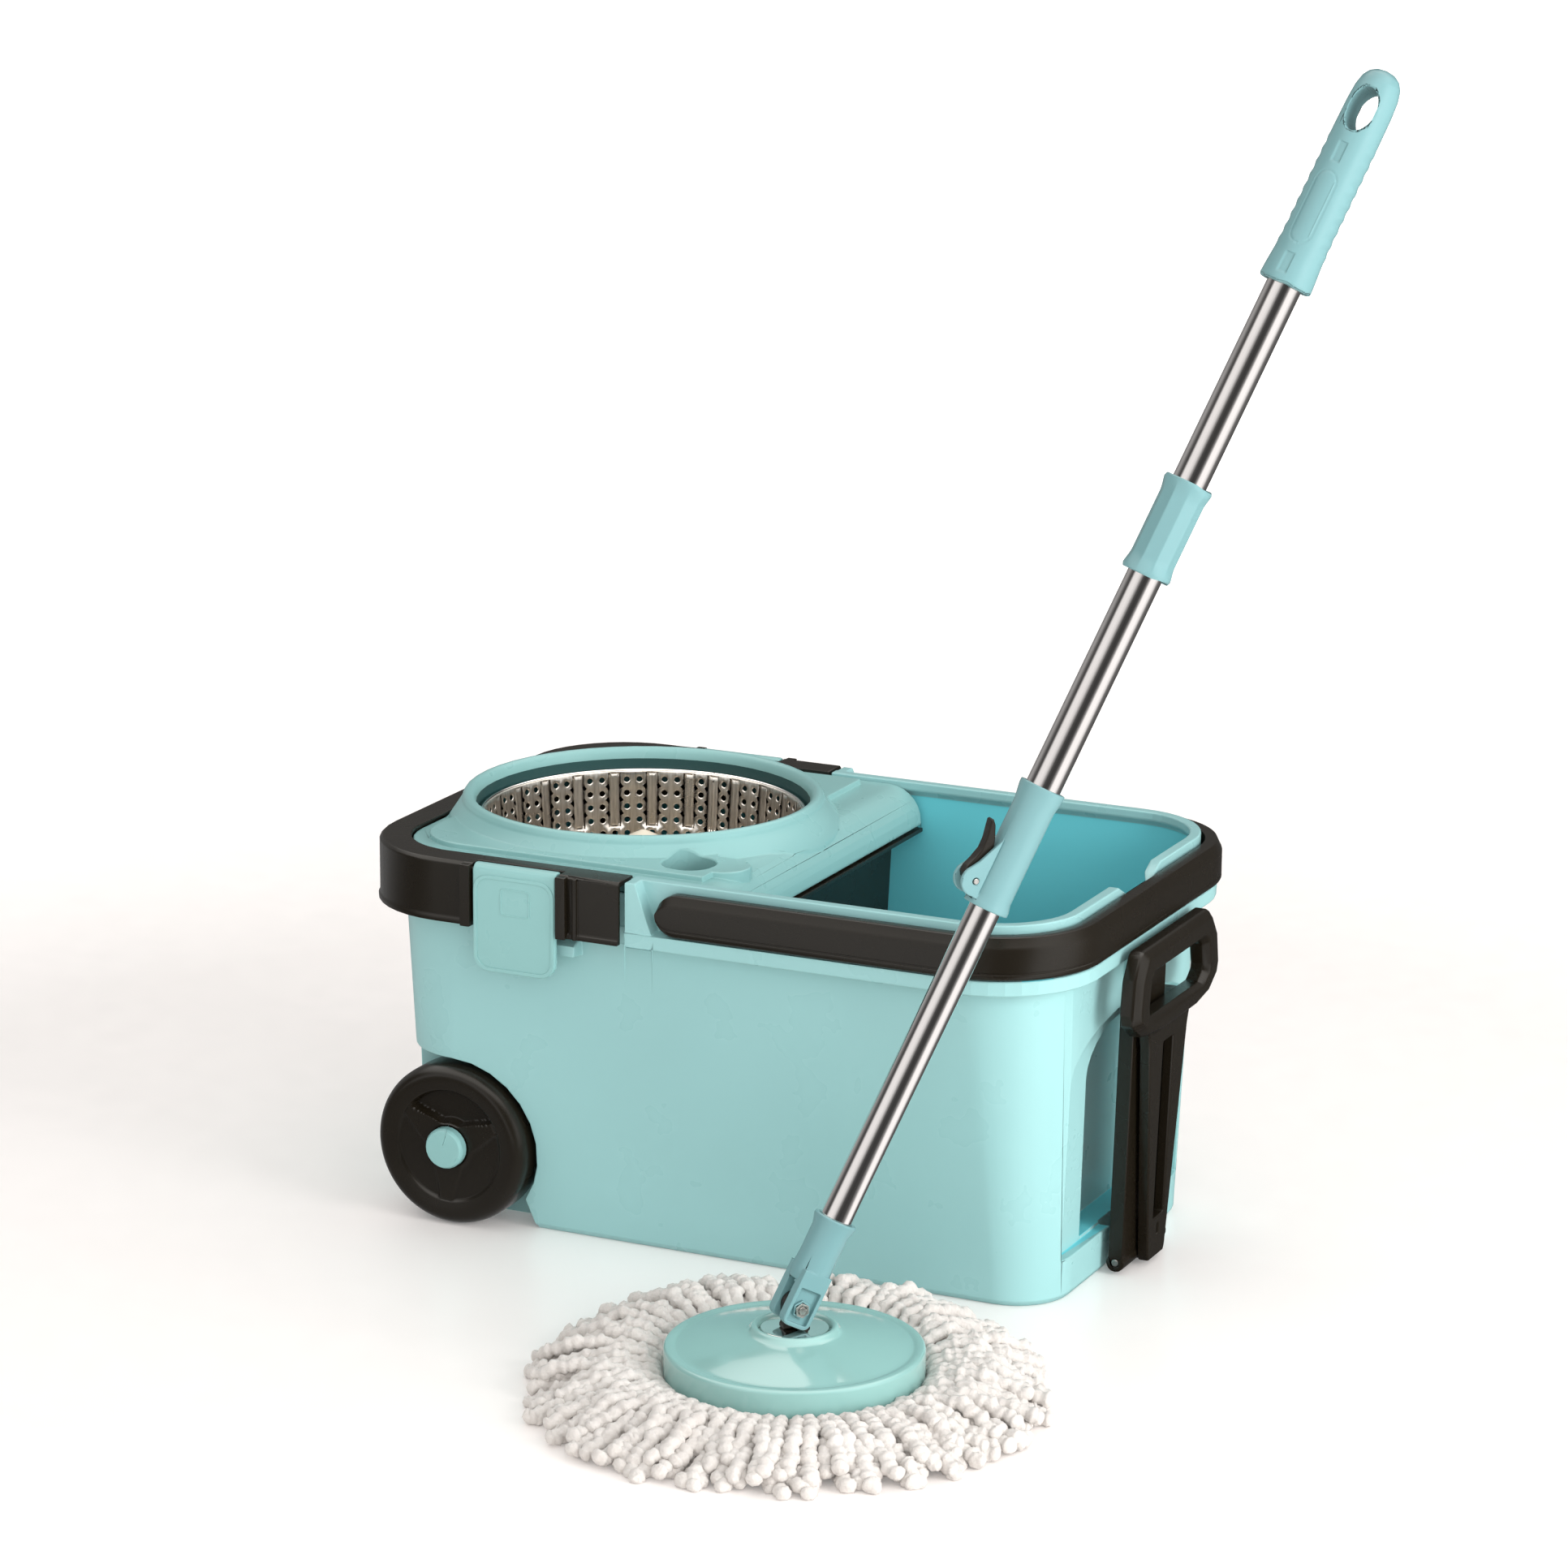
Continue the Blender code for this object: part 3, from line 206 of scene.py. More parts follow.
def make_materials():
    """Every material, by the record's slot name or, for the extra teals, by its own."""
    teal = plastic("teal_plastic", (0.235, 0.448, 0.440), 0.28, shine=0.4)
    shell = plastic("teal_plastic_tub", (0.283, 0.512, 0.514), 0.28, shine=0.35)
    # Painted bounce light: a deeper, more saturated copy of the tub's teal for the faces of its hollow.
    inside = plastic("teal_plastic_painted_bounce", (0.145, 0.575, 0.640), 0.30, shine=0.25)
    pole = plastic("pole_teal_plastic", (0.160, 0.310, 0.325), 0.24, shine=0.35)
    # Painted shade: a dark teal for the tray ring's lower inner wall, standing in for the shadow of the gap above
    # the basket.
    painted_shade_plastic = plastic("painted_shade_teal_plastic", (0.018, 0.065, 0.065), 0.45)
    deep = plastic("deep_teal_plastic", (0.250, 0.450, 0.425), 0.12, wave=0.00008)
    deep.set(Coat_Weight=0.4, Coat_Roughness=0.05)
    black = plastic("black_plastic", (0.0105, 0.0080, 0.0048), 0.27, wave=0.00008, shine=0.34)
    cream = plastic("cream_plastic", (0.80, 0.72, 0.58), 0.42)
    white = plastic("white_plastic", (0.80, 0.79, 0.76), 0.42)
    return {
        "teal_plastic": teal.material, "teal_painted_bounce": inside.material, "deep_teal_plastic": deep.material,
        "teal_tub": shell.material, "pole_teal": pole.material, "painted_shade_teal": painted_shade_plastic.material,
        "black_plastic": black.material, "cream_plastic": cream.material, "white_plastic": white.material,
        "chrome": make_chrome(), "microfibre": make_microfibre(),
        "basket_steel": make_brushed("basket_steel", (0.52, 0.48, 0.43), (0.80, 0.75, 0.69), 0.32),
        "hardware_steel": make_brushed("hardware_steel", (0.52, 0.50, 0.47), (0.72, 0.70, 0.67), 0.26),
    }


MATERIAL = make_materials()


# ---------------------------------------------------------------- building pieces
def mesh_object(name, verts, faces, smooth_angle=None):
    """One mesh object; with a smooth angle, edges sharper than it (in degrees) stay sharp."""
    mesh = bpy.data.meshes.new(name)
    mesh.from_pydata([tuple(v) for v in verts], [], faces)
    mesh.validate()
    bm = bmesh.new()
    bm.from_mesh(mesh)
    bmesh.ops.remove_doubles(bm, verts=bm.verts, dist=1e-6)
    bmesh.ops.recalc_face_normals(bm, faces=bm.faces)
    bm.to_mesh(mesh)
    bm.free()
    obj = bpy.data.objects.new(name, mesh)
    bpy.context.scene.collection.objects.link(obj)
    if smooth_angle is not None:
        mesh.shade_smooth()
        mesh.set_sharp_from_angle(angle=math.radians(smooth_angle))
    return obj


def place(obj, node, material=None, replace=True):
    """Give a piece the body of its CAD node and its material, by default the one for the node's slot, and let it
    stand for the node.
    """
    obj.data.materials.clear()
    obj.data.materials.append(material or MATERIAL[SLOT_OF[node]])
    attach(obj, BODY_OF[node])
    if replace:
        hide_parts(node)
    return obj


def soften(obj, width, segments=2, angle=28.0):
    """Round the sharp edges of a piece and keep its flat faces evenly shaded."""
    bevel = obj.modifiers.new("rounding", "BEVEL")
    bevel.width = width
    bevel.segments = segments
    bevel.limit_method = "ANGLE"
    bevel.angle_limit = math.radians(angle)
    bevel.use_clamp_overlap = False
    bevel.miter_outer = "MITER_ARC"
    even = obj.modifiers.new("even_shading", "WEIGHTED_NORMAL")
    even.mode = "FACE_AREA"
    even.keep_sharp = True
    return obj


def refine(node, width, merge=5e-5, angle=28.0, material=None, crease=28.0):
    """The CAD node's own shape with its edges rounded; edges under the crease angle are shaded smooth."""
    mesh = frame["nodes"][node].data.copy()
    mesh.name = node + "_moulded"
    bm = bmesh.new()
    bm.from_mesh(mesh)
    bmesh.ops.remove_doubles(bm, verts=bm.verts, dist=merge)
    bm.to_mesh(mesh)
    bm.free()
    mesh.shade_smooth()
    mesh.set_sharp_from_angle(angle=math.radians(crease))
    obj = bpy.data.objects.new(node + "_moulded", mesh)
    bpy.context.scene.collection.objects.link(obj)
    soften(obj, width, angle=angle)
    return place(obj, node, material)


def arc(centre, radius, start, end, steps):
    """Points on an arc in a plane, with its angles in degrees."""
    points = []
    for step in range(steps + 1):
        angle = math.radians(start + (end - start) * step / steps)
        points.append((centre[0] + radius * math.cos(angle), centre[1] + radius * math.sin(angle)))
    return points


def grid_faces(rings, columns, closed_rings=False):
    """Quads over a grid of rings, each ring closed on itself."""
    faces = []
    for i in range(rings if closed_rings else rings - 1):
        below = ((i + 1) % rings) * columns
        for j in range(columns):
            k = (j + 1) % columns
            faces.append((i * columns + j, i * columns + k, below + k, below + j))
    return faces


def turned(name, profile, steps, matrix, closed=True, smooth_angle=35.0):
    """A profile of (radius, level) turned round Z; an open one is capped at both ends."""
    verts = []
    for radius, level in profile:
        for step in range(steps):
            angle = 2 * math.pi * step / steps
            verts.append((radius * math.cos(angle), radius * math.sin(angle), level))
    faces = grid_faces(len(profile), steps, closed)
    if not closed:
        faces.append(tuple(range(steps)))
        faces.append(tuple(range((len(profile) - 1) * steps, len(profile) * steps)))
    obj = mesh_object(name, verts, faces, smooth_angle)
    obj.data.transform(matrix)
    return obj


def smoothstep(low, high, value):
    """0 at low and 1 at high, with a smooth rise between."""
    t = np.clip((value - low) / (high - low), 0.0, 1.0)
    return t * t * (3.0 - 2.0 * t)


# ---------------------------------------------------------------- plain mouldings
BOUNCE_PAINT_TOP = 0.250              # the painted bounce light starts below the tub's rim
BOUNCE_PAINT_FOOT = (0.2300, 0.1222)  # half length and width of the hollow at the floor
BOUNCE_PAINT_FLARE = (0.024, 0.126)   # how much these grow per metre of height
END_WALL_X = 0.2255             # the end wall's outer ribs lie past this
# The tray ring's lower inner wall, within this radius and under this level, gets the painted shade.
PAINTED_SHADE_R, PAINTED_SHADE_TOP = 0.1140, 0.2678   # lower inner wall of the tray's ring


def gets_painted_bounce(face):
    """Whether a face of the tub lines its hollow, where a deeper teal is painted in for the light that bounces
    round inside it.
    """
    spot, facing = face.center, face.normal
    if spot.z > BOUNCE_PAINT_TOP:
        return False
    half_x, half_y = (foot + flare * spot.z for foot, flare in zip(BOUNCE_PAINT_FOOT, BOUNCE_PAINT_FLARE))
    if abs(spot.x) > half_x or abs(spot.y) > half_y:
        return False
    if abs(facing.z) > 0.7:
        return facing.z > 0 and spot.z > 0.003
    if spot.x > END_WALL_X and abs(facing.x) < 0.5:
        return False
    return spot.x * facing.x + spot.y * facing.y < 0


def make_mouldings():
    """Moulded and turned pieces whose CAD shape only needs rounded edges."""
    widths = {
        "collar": (0.0007, 5e-5), "divider_panel": (0.0004, 5e-5),
        "basket_cradle": (0.0005, 5e-5), "latch_front": (0.0009, 5e-5), "latch_back": (0.0009, 5e-5),
        "hub_cap_front": (0.0006, 2e-5), "hub_cap_back": (0.0006, 2e-5), "pull_arm_inner": (0.0007, 5e-5),
        "pull_arm_outer": (0.0011, 5e-5), "mop_tongue": (0.0006, 5e-5), "refill_ring": (0.0004, 2e-5),
        "screw_plug": (0.0005, 2e-5), "fork_bolt": (0.0003, 2e-5), "fork_nut": (0.0003, 2e-5),
        "bail_pin_front": (0.0004, 2e-5), "bail_pin_back": (0.0004, 2e-5), "lever_rivet": (0.0004, 2e-5),
        "pull_hinge_pin": (0.0004, 2e-5), "pull_knuckle_pin": (0.0004, 2e-5), "wheel_axle": (0.0004, 2e-5),
        "clamp_lever": (0.0007, 5e-5),
    }
    for node, (width, merge) in widths.items():
        refine(node, width, merge)
    refine("fork", 0.0007, material=MATERIAL["pole_teal"])
    refine("pole_clamp", 0.0006, material=MATERIAL["pole_teal"])
    tray = refine("tray", 0.0010, 1e-4)
    # Painted shade: faces of the ring's lower inner wall take the dark teal, as if in the shadow of the gap.
    tray.data.materials.append(MATERIAL["painted_shade_teal"])
    for face in tray.data.polygons:
        away = Vector((face.center.x - BASKET_C.x, face.center.y))
        shaded = away.length < PAINTED_SHADE_R and face.center.z < PAINTED_SHADE_TOP and away.dot(face.normal.xy) < 0
        face.material_index = int(shaded)
    shell = refine("bucket_shell", 0.0009, 2e-4, angle=31.0, material=MATERIAL["teal_tub"], crease=14.0)
    # The faces of the hollow get the painted bounce light.
    shell.data.materials.append(MATERIAL["teal_painted_bounce"])
    for face in shell.data.polygons:
        face.material_index = int(gets_painted_bounce(face))
    for node in ("basket_spindle", "thrust_washer", "latch_pin_front", "latch_pin_back", "head_screw",
                 "clamp_bush", "drive_nut", "nut_cap", "drive_screw"):
        obj = frame["nodes"][node]
        obj.data.materials.clear()
        obj.data.materials.append(MATERIAL[SLOT_OF[node]])


# ---------------------------------------------------------------- mop refill
STRAND_LAYERS = (
    # strands, height over the floor near the disc, at mid length and at the tip, shortest and longest reach
    (88, 0.0042, 0.0042, 0.0040, 0.148, 0.1625),
    (88, 0.0090, 0.0105, 0.0062, 0.146, 0.1620),
    (86, 0.0150, 0.0170, 0.0095, 0.142, 0.1600),
    (72, 0.0200, 0.0225, 0.0135, 0.128, 0.1560),
)
STRAND_START = 0.0635
DISC_EDGE = 0.0810
RING_LEVEL = 0.0040             # height of the strands where the ring holds them
UNDER_DISC_R, UNDER_DISC_TOP = 0.0775, 0.0078
FLOOR_GAP = 0.0002
FULL_TURN = 6.3                 # upper end of a random phase, in radians
SPREAD_TURN = 200.0             # degrees; they reach farthest to the wheel side
PILE_TURN = 112.0               # degrees; the strands pile up on the side of the bucket
STRAND_R = (0.0036, 0.0050)
STRAND_SIDES = 9
RING_STEP = 0.0013
BEAD = 0.0062


def strand_path(rng, angle, layer):
    """Centre line of one chenille strand, from the refill ring out over the floor; those behind pile up."""
    _, near, middle, tip, short, long = layer
    behind = max(0.0, math.cos(angle - math.radians(PILE_TURN)))
    spread = max(0.0, math.cos(angle - math.radians(SPREAD_TURN)))
    reach = rng.uniform(short, long) * (1.0 + 0.04 * behind + 0.05 * spread)
    count = int((reach - STRAND_START) / RING_STEP)
    radius = np.linspace(STRAND_START, reach, count)
    share = (radius - DISC_EDGE) / (reach - DISC_EDGE)
    sway = rng.uniform(-0.07, 0.07) * np.clip(share, 0, 1) ** 1.5
    swing = rng.uniform(0.008, 0.022)
    wave = share * rng.uniform(4, 9) + rng.uniform(0, FULL_TURN)
    sway = sway + swing * np.sin(wave) * np.clip(share, 0, 1)
    turn = angle + sway
    lift = near + (middle - near) * smoothstep(0.0, 0.35, share)
    lift = lift + (tip - middle) * smoothstep(0.55, 1.0, share)
    lift = lift * (1.0 + 0.45 * behind * smoothstep(0.05, 0.45, share))
    ripple = share * rng.uniform(8, 16) + rng.uniform(0, FULL_TURN)
    lift = lift + 0.0011 * np.sin(ripple) * np.clip(share * 2, 0, 1)
    level = RING_LEVEL + (lift - RING_LEVEL) * smoothstep(0.0745, 0.0870, radius)
    return np.stack([radius * np.cos(turn), radius * np.sin(turn), level], axis=1)


def strand_tube(rng, path):
    """A bead-like tube round a path, with rounded ends."""
    count = len(path)
    tangent = np.gradient(path, axis=0)
    tangent /= np.linalg.norm(tangent, axis=1)[:, None]
    side = np.cross(tangent, (0.0, 0.0, 1.0))
    side /= np.linalg.norm(side, axis=1)[:, None]
    up = np.cross(side, tangent)
    along = np.arange(count) * RING_STEP
    share = along / along[-1]
    size = STRAND_R[0] + (STRAND_R[1] - STRAND_R[0]) * smoothstep(0.12, 0.6, share)
    phase = rng.uniform(0, FULL_TURN)
    drift = np.cumsum(rng.normal(0, 0.10, count))
    bead = np.sin(math.pi * along / BEAD + phase + drift)
    size = size * (0.80 + 0.30 * np.abs(bead)) * (1 + 0.06 * np.sin(along * 310 + phase * 3))
    left = (count - 1 - np.arange(count)) * RING_STEP
    cap = np.clip(left / 0.0042, 0.0, 1.0)
    size = size * np.sqrt(1 - (1 - cap) ** 2 + 1e-4)
    lean = 0.16 * np.stack([np.sin(along * 520 + phase), np.cos(along * 430 + phase * 2)], axis=1)
    angles = 2 * math.pi * np.arange(STRAND_SIDES) / STRAND_SIDES
    rough = 1 + 0.055 * rng.normal(0, 1, (count, STRAND_SIDES))
    ring = size[:, None] * rough
    across = ring * np.cos(angles)[None, :] + (size * lean[:, 0])[:, None]
    over = ring * np.sin(angles)[None, :] * 0.94 + (size * lean[:, 1])[:, None]
    points = path[:, None, :] + side[:, None, :] * across[..., None] + up[:, None, :] * over[..., None]
    return points.reshape(-1, 3)


def make_fringe():
    """All the strands as one mesh, pressed flat under the disc and kept off the floor."""
    rng = np.random.default_rng(41)
    all_points, all_faces, offset = [], [], 0
    for index, layer in enumerate(STRAND_LAYERS):
        for strand in range(layer[0]):
            angle = 2 * math.pi * (strand + 0.37 * index + rng.uniform(-0.28, 0.28)) / layer[0]
            points = strand_tube(rng, strand_path(rng, angle, layer))
            rings = len(points) // STRAND_SIDES
            faces = np.array(grid_faces(rings, STRAND_SIDES)) + offset
            all_faces += faces.tolist()
            all_faces.append(tuple(range(offset + STRAND_SIDES - 1, offset - 1, -1)))
            last = offset + (rings - 1) * STRAND_SIDES
            all_faces.append(tuple(range(last, last + STRAND_SIDES)))
            all_points.append(points)
            offset += len(points)
    points = np.concatenate(all_points)
    under_disc = np.hypot(points[:, 0], points[:, 1]) < UNDER_DISC_R
    points[:, 2] = np.where(under_disc, np.minimum(points[:, 2], UNDER_DISC_TOP), points[:, 2])
    points[:, 2] = np.maximum(points[:, 2], FLOOR_GAP)
    mesh = bpy.data.meshes.new("mop_strands")
    mesh.from_pydata(points.tolist(), [], all_faces)
    mesh.shade_smooth()
    obj = bpy.data.objects.new("mop_strands", mesh)
    bpy.context.scene.collection.objects.link(obj)
    obj.data.transform(MOP)
    place(obj, "mop_fringe")


# ---------------------------------------------------------------- mop head
def make_disc():
    """Shallow glossy cone with a raised border, a rounded skirt and a lip round the steel plate."""
    profile = [(0.0050, 0.0424), (0.0280, 0.0424), (0.0750, 0.0326), (0.0768, 0.0308), (0.0768, 0.0176)]
    profile += [(0.0774, 0.0171), (0.0792, 0.0171), (0.0800, 0.0180), (0.0800, 0.0308)]
    profile += [(0.0778 + a * 0.0022, 0.0334 + b * 0.0026) for a, b in arc((0, 0), 1.0, 0, 78, 7)]
    profile += [(0.0762, 0.0360), (0.0742, 0.0358), (0.0732, 0.0354), (0.0720, 0.0355)]
    slope = (0.0452 - 0.0355) / (0.0720 - 0.0290)
    profile += [(r, 0.0355 + (0.0720 - r) * slope + 0.0004 * math.sin(math.pi * (0.0720 - r) / 0.043))
                for r in np.linspace(0.0690, 0.0300, 10)]
    profile += [(0.0287, 0.0454), (0.0274, 0.0466)]
    profile += [(0.0246 + a * 0.0023, 0.0468 + b * 0.0022) for a, b in arc((0, 0), 1.0, 25, 155, 8)]
    profile += [(0.0216, 0.0464), (0.0215, 0.0453), (0.0050, 0.0453)]
    place(turned("mop_disc_moulded", profile, 144, MOP), "mop_disc")
    plate = [(0.0040, 0.0455), (0.0211, 0.0455), (0.0212, 0.0464), (0.0208, 0.0473), (0.0200, 0.0476)]
    plate += [(0.0040, 0.0476)]
    place(turned("mop_plate_polished", plate, 96, MOP), "mop_plate")


# ---------------------------------------------------------------- spin basket
HOLE_COLUMNS = 76
HOLE_ROWS = 11
RIDGE_ROWS = 4
HOLE_R = 0.0022
HOLE_TOP = 0.2548
HOLE_PITCH = 0.0094
MEAN_R = 0.1040
WALL_FOOT, WALL_TOP = (0.1420, 0.0978), (0.2600, 0.1068)    # level, inner radius
FLOOR_LEVEL = 0.1397
FLOOR_RINGS = (0.0855, 0.0770, 0.0685, 0.0600, 0.0515, 0.0430)
FLOOR_RING_HALF = 0.00425
# Pressed lines of a cell: place across it from -1 to 1, and height.
RIDGE_LINES = ((-0.35, 0.00009), (0.35, 0.00009))
SEAM_LINES = ((-0.55, 0.00008), (0.0, 0.00025), (0.4, 0.00008))


def wall_radius(level):
    """Inner radius of the basket's slightly tapered wall."""
    share = (level - WALL_FOOT[0]) / (WALL_TOP[0] - WALL_FOOT[0])
    return WALL_FOOT[1] + (WALL_TOP[1] - WALL_FOOT[1]) * share


def is_hole(column, row):
    """Pairs of hole columns with a pressed ridge between, and a seam at column 0."""
    if column == 0:
        return False
    ridge = column % 3 == 2 and column < HOLE_COLUMNS - 1
    return not (ridge and row < RIDGE_ROWS)


def hole_cell(centre, half, radius, dent, point):
    """One square cell with a round hole whose edge is pressed in by dent."""
    verts, faces = [], []
    outer = [(-1, -1), (0, -1), (1, -1), (1, 0), (1, 1), (0, 1), (-1, 1), (-1, 0)]
    rings = [[(centre[0] + a * half[0], centre[1] + b * half[1], 0.0) for a, b in outer]]
    for size, depth in ((radius * 1.38, 0.0), (radius, dent)):
        ring = []
        for k in range(8):
            angle = math.radians(225 + 45 * k)
            ring.append((centre[0] + size * math.cos(angle), centre[1] + size * math.sin(angle), depth))
        rings.append(ring)
    for ring in rings:
        verts += [point(*spot) for spot in ring]
    for r in (0, 8):
        for k in range(8):
            faces.append((r + k, r + (k + 1) % 8, r + 8 + (k + 1) % 8, r + 8 + k))
    return verts, faces


def plain_cell(centre, half, lines, point, below=1.0, above=1.0):
    """One square cell without a hole; each line (place, height) is a narrow pressed ridge down the wall."""
    spots = [(-1.0, 0.0)]
    for mid, height in lines:
        spots += [(mid - 0.16, 0.0), (mid - 0.05, height), (mid + 0.05, height), (mid + 0.16, 0.0)]
    spots.append((1.0, 0.0))
    wide = len(spots)
    verts = [point(centre[0] + a * half[0], centre[1] + b * half[1], -height * share)
             for b, share in ((-1, below), (-0.4, 1.0), (0.3, 1.0), (1, above)) for a, height in spots]
    faces = [(r * wide + c, r * wide + c + 1, (r + 1) * wide + c + 1, (r + 1) * wide + c)
             for r in range(3) for c in range(wide - 1)]
    return verts, faces


def wall_point(along, level, depth):
    """Along in metres round the wall at its mean radius, depth outwards."""
    angle = math.pi / 2 + along / MEAN_R
    radius = wall_radius(level) + depth
    return (radius * math.cos(angle), radius * math.sin(angle), level)


def make_basket():
    """Perforated wall: square cells, each with a hole, a pressed ridge or the seam."""
    verts, faces = [], []

    def put(cell):
        base = len(verts)
        verts.extend(cell[0])
        faces.extend(tuple(base + i for i in face) for face in cell[1])

    wide = 2 * math.pi * MEAN_R / HOLE_COLUMNS
    half = (wide / 2, HOLE_PITCH / 2)
    for row in range(HOLE_ROWS):
        for column in range(HOLE_COLUMNS):
            centre = (column * wide, HOLE_TOP - row * HOLE_PITCH)
            if is_hole(column, row):
                put(hole_cell(centre, half, HOLE_R, 0.00022, wall_point))
            else:
                lines = SEAM_LINES if column == 0 else RIDGE_LINES
                ends = (float(row != RIDGE_ROWS - 1), float(row != 0))
                put(plain_cell(centre, half, lines, wall_point, *ends))
    bottom = HOLE_TOP - (HOLE_ROWS - 0.5) * HOLE_PITCH
    top = HOLE_TOP + HOLE_PITCH / 2
    columns = 2 * HOLE_COLUMNS
    heel = [(wall_radius(bottom), bottom), (0.0982, 0.1470), (0.0970, 0.1432), (0.0945, 0.1404)]
    heel += [(0.0900, FLOOR_LEVEL)]
    rim = [(wall_radius(top), top), (0.1072, top + 0.0006), (0.1078, top + 0.0010)]
    for profile in (heel, rim):
        base = len(verts)
        for radius, level in profile:
            for step in range(columns):
                angle = math.pi / 2 + (step - 1) * math.pi / HOLE_COLUMNS
                verts.append((radius * math.cos(angle), radius * math.sin(angle), level))
        faces.extend(tuple(base + i for i in face) for face in grid_faces(len(profile), columns))
    wall = mesh_object("basket_wall", verts, faces, 50.0)
    thick = wall.modifiers.new("sheet", "SOLIDIFY")
    thick.thickness = 0.0007
    thick.offset = 1.0
    wall.data.transform(BASKET)
    place(wall, "basket")


def make_basket_floor():
    """Pressed floor with rings of drain holes."""
    verts, faces = [], []
    spots, cell = hole_cell((0.0, 0.0), (1.0, 1.0), 0.46, 0.0, lambda across, out, depth: (across, out))
    for ring, radius in enumerate(FLOOR_RINGS):
        count = 72 if ring < 3 else 36
        step = 2 * math.pi / count
        for column in range(count):
            centre = column * step + 0.5 * step
            base = len(verts)
            for across, out in spots:
                narrow = 0.9 if abs(across) < 0.9 else 1.0
                turn = centre + across * (step / 2) * narrow
                reach = radius + out * FLOOR_RING_HALF
                verts.append((reach * math.cos(turn), reach * math.sin(turn), FLOOR_LEVEL))
            faces.extend(tuple(base + i for i in face) for face in cell)
    for inner, outer, count in ((0.0120, 0.03875, 36), (0.08975, 0.0905, 72)):
        base = len(verts)
        for radius in (inner, outer):
            for k in range(2 * count):
                angle = math.pi * k / count
                verts.append((radius * math.cos(angle), radius * math.sin(angle), FLOOR_LEVEL))
        faces.extend(tuple(base + i for i in face) for face in grid_faces(2, 2 * count))
    floor = mesh_object("basket_floor", verts, faces, 40.0)
    thick = floor.modifiers.new("sheet", "SOLIDIFY")
    thick.thickness = 0.0008
    thick.offset = -1.0
    floor.data.transform(BASKET)
    place(floor, "basket", replace=False)


def make_basket_rim():
    """Bright rolled edge at the top of the basket, broken by the seam's slit, which a black strip fills as painted
    shade.
    """
    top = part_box("basket")[1].z
    profile = [(0.1070, top - 0.0026), (0.1074, top - 0.0016)]
    profile += [(0.1088 + a * 0.0016, top - 0.0016 + b * 0.0016) for a, b in arc((0, 0), 1.0, 180, -80, 12)]
    profile += [(0.1080, top - 0.0030), (0.1074, top - 0.0034)]
    place(turned("basket_rim", profile, 144, BASKET), "basket", MATERIAL["chrome"], replace=False)
    # Painted shade: a black strip stands in for the dark of the open slit.
    low = HOLE_TOP + 0.0006
    slit = [(-0.0007, 0.1060, low), (0.0007, 0.1060, low)]
    slit += [(0.0007, 0.1080, top + 0.0001), (-0.0007, 0.1080, top + 0.0001)]
    verts = slit + [(x, y + 0.0012, z) for x, y, z in slit]
    faces = [(0, 1, 2, 3), (7, 6, 5, 4), (0, 4, 5, 1), (1, 5, 6, 2), (2, 6, 7, 3), (3, 7, 4, 0)]
    slit_shade = soften(mesh_object("basket_seam_painted_shade", verts, faces, 30.0), 0.0002)
    slit_shade.data.transform(BASKET)
    place(slit_shade, "basket", MATERIAL["black_plastic"], replace=False)


def make_hub():
    """Cream cone with drive ribs at its foot and a blunt tip."""
    profile = [(0.0045, 0.1398), (0.0338, 0.1398), (0.0342, 0.1408), (0.0340, 0.1440), (0.0328, 0.1455)]
    profile += [(0.0300, 0.1475), (0.0285, 0.1520), (0.0262, 0.1620)]
    profile += [(0.0262 - 0.0092 * t, 0.1620 + 0.0600 * t) for t in (0.25, 0.5, 0.75, 1.0)]
    profile += [(0.0165, 0.2265), (0.0150, 0.2360), (0.0142, 0.2396), (0.0122, 0.2416), (0.0070, 0.2445)]
    profile += [(0.0022, 0.2468), (0.0004, 0.2473)]
    cone = turned("hub_cone", profile, 72, BASKET, closed=False)
    place(cone, "basket_hub")
    rib = [(0.0235, 0.1480), (0.0330, 0.1450), (0.0325, 0.1490), (0.0250, 0.1900), (0.0190, 0.2180)]
    rib += [(0.0170, 0.2180)]
    verts, faces = [], []
    for index in range(6):
        turn = Matrix.Rotation(math.pi * index / 3, 3, "Z")
        base = len(verts)
        for side in (-0.0011, 0.0011):
            verts += [turn @ Vector((radius, side, level)) for radius, level in rib]
        count = len(rib)
        faces.append(tuple(base + i for i in range(count)))
        faces.append(tuple(base + count + i for i in reversed(range(count))))
        for i in range(count):
            j = (i + 1) % count
            faces.append((base + i, base + count + i, base + count + j, base + j))
    ribs = soften(mesh_object("hub_ribs", verts, faces, 30.0), 0.0005)
    ribs.data.transform(BASKET)
    place(ribs, "basket_hub", replace=False)


# ---------------------------------------------------------------- wheels
SPOKES = (26.0, 146.0, 266.0)


def wheel_face(radius, angle):
    """How far the dished face lies in from the wheel's outermost plane, between three broad spokes."""
    inside = smoothstep(0.0385, 0.0370, radius) * smoothstep(0.0150, 0.0185, radius)
    top = np.cos(angle - math.radians(SPOKES[0] + 60.0)) > 0.5
    dish = 0.0006 + (0.0018 + 0.0052 * top) * inside
    spoke = np.zeros_like(angle)
    for centre in SPOKES:
        off = np.abs((angle - math.radians(centre) + math.pi) % (2 * math.pi) - math.pi)
        half = 0.0100 - 0.0050 * smoothstep(0.0150, 0.0370, radius)
        gap = radius * np.sin(np.minimum(off, math.pi / 2))
        spoke = np.maximum(spoke, smoothstep(half + 0.0010, half - 0.0008, gap))
    return dish + (0.0006 - dish) * spoke


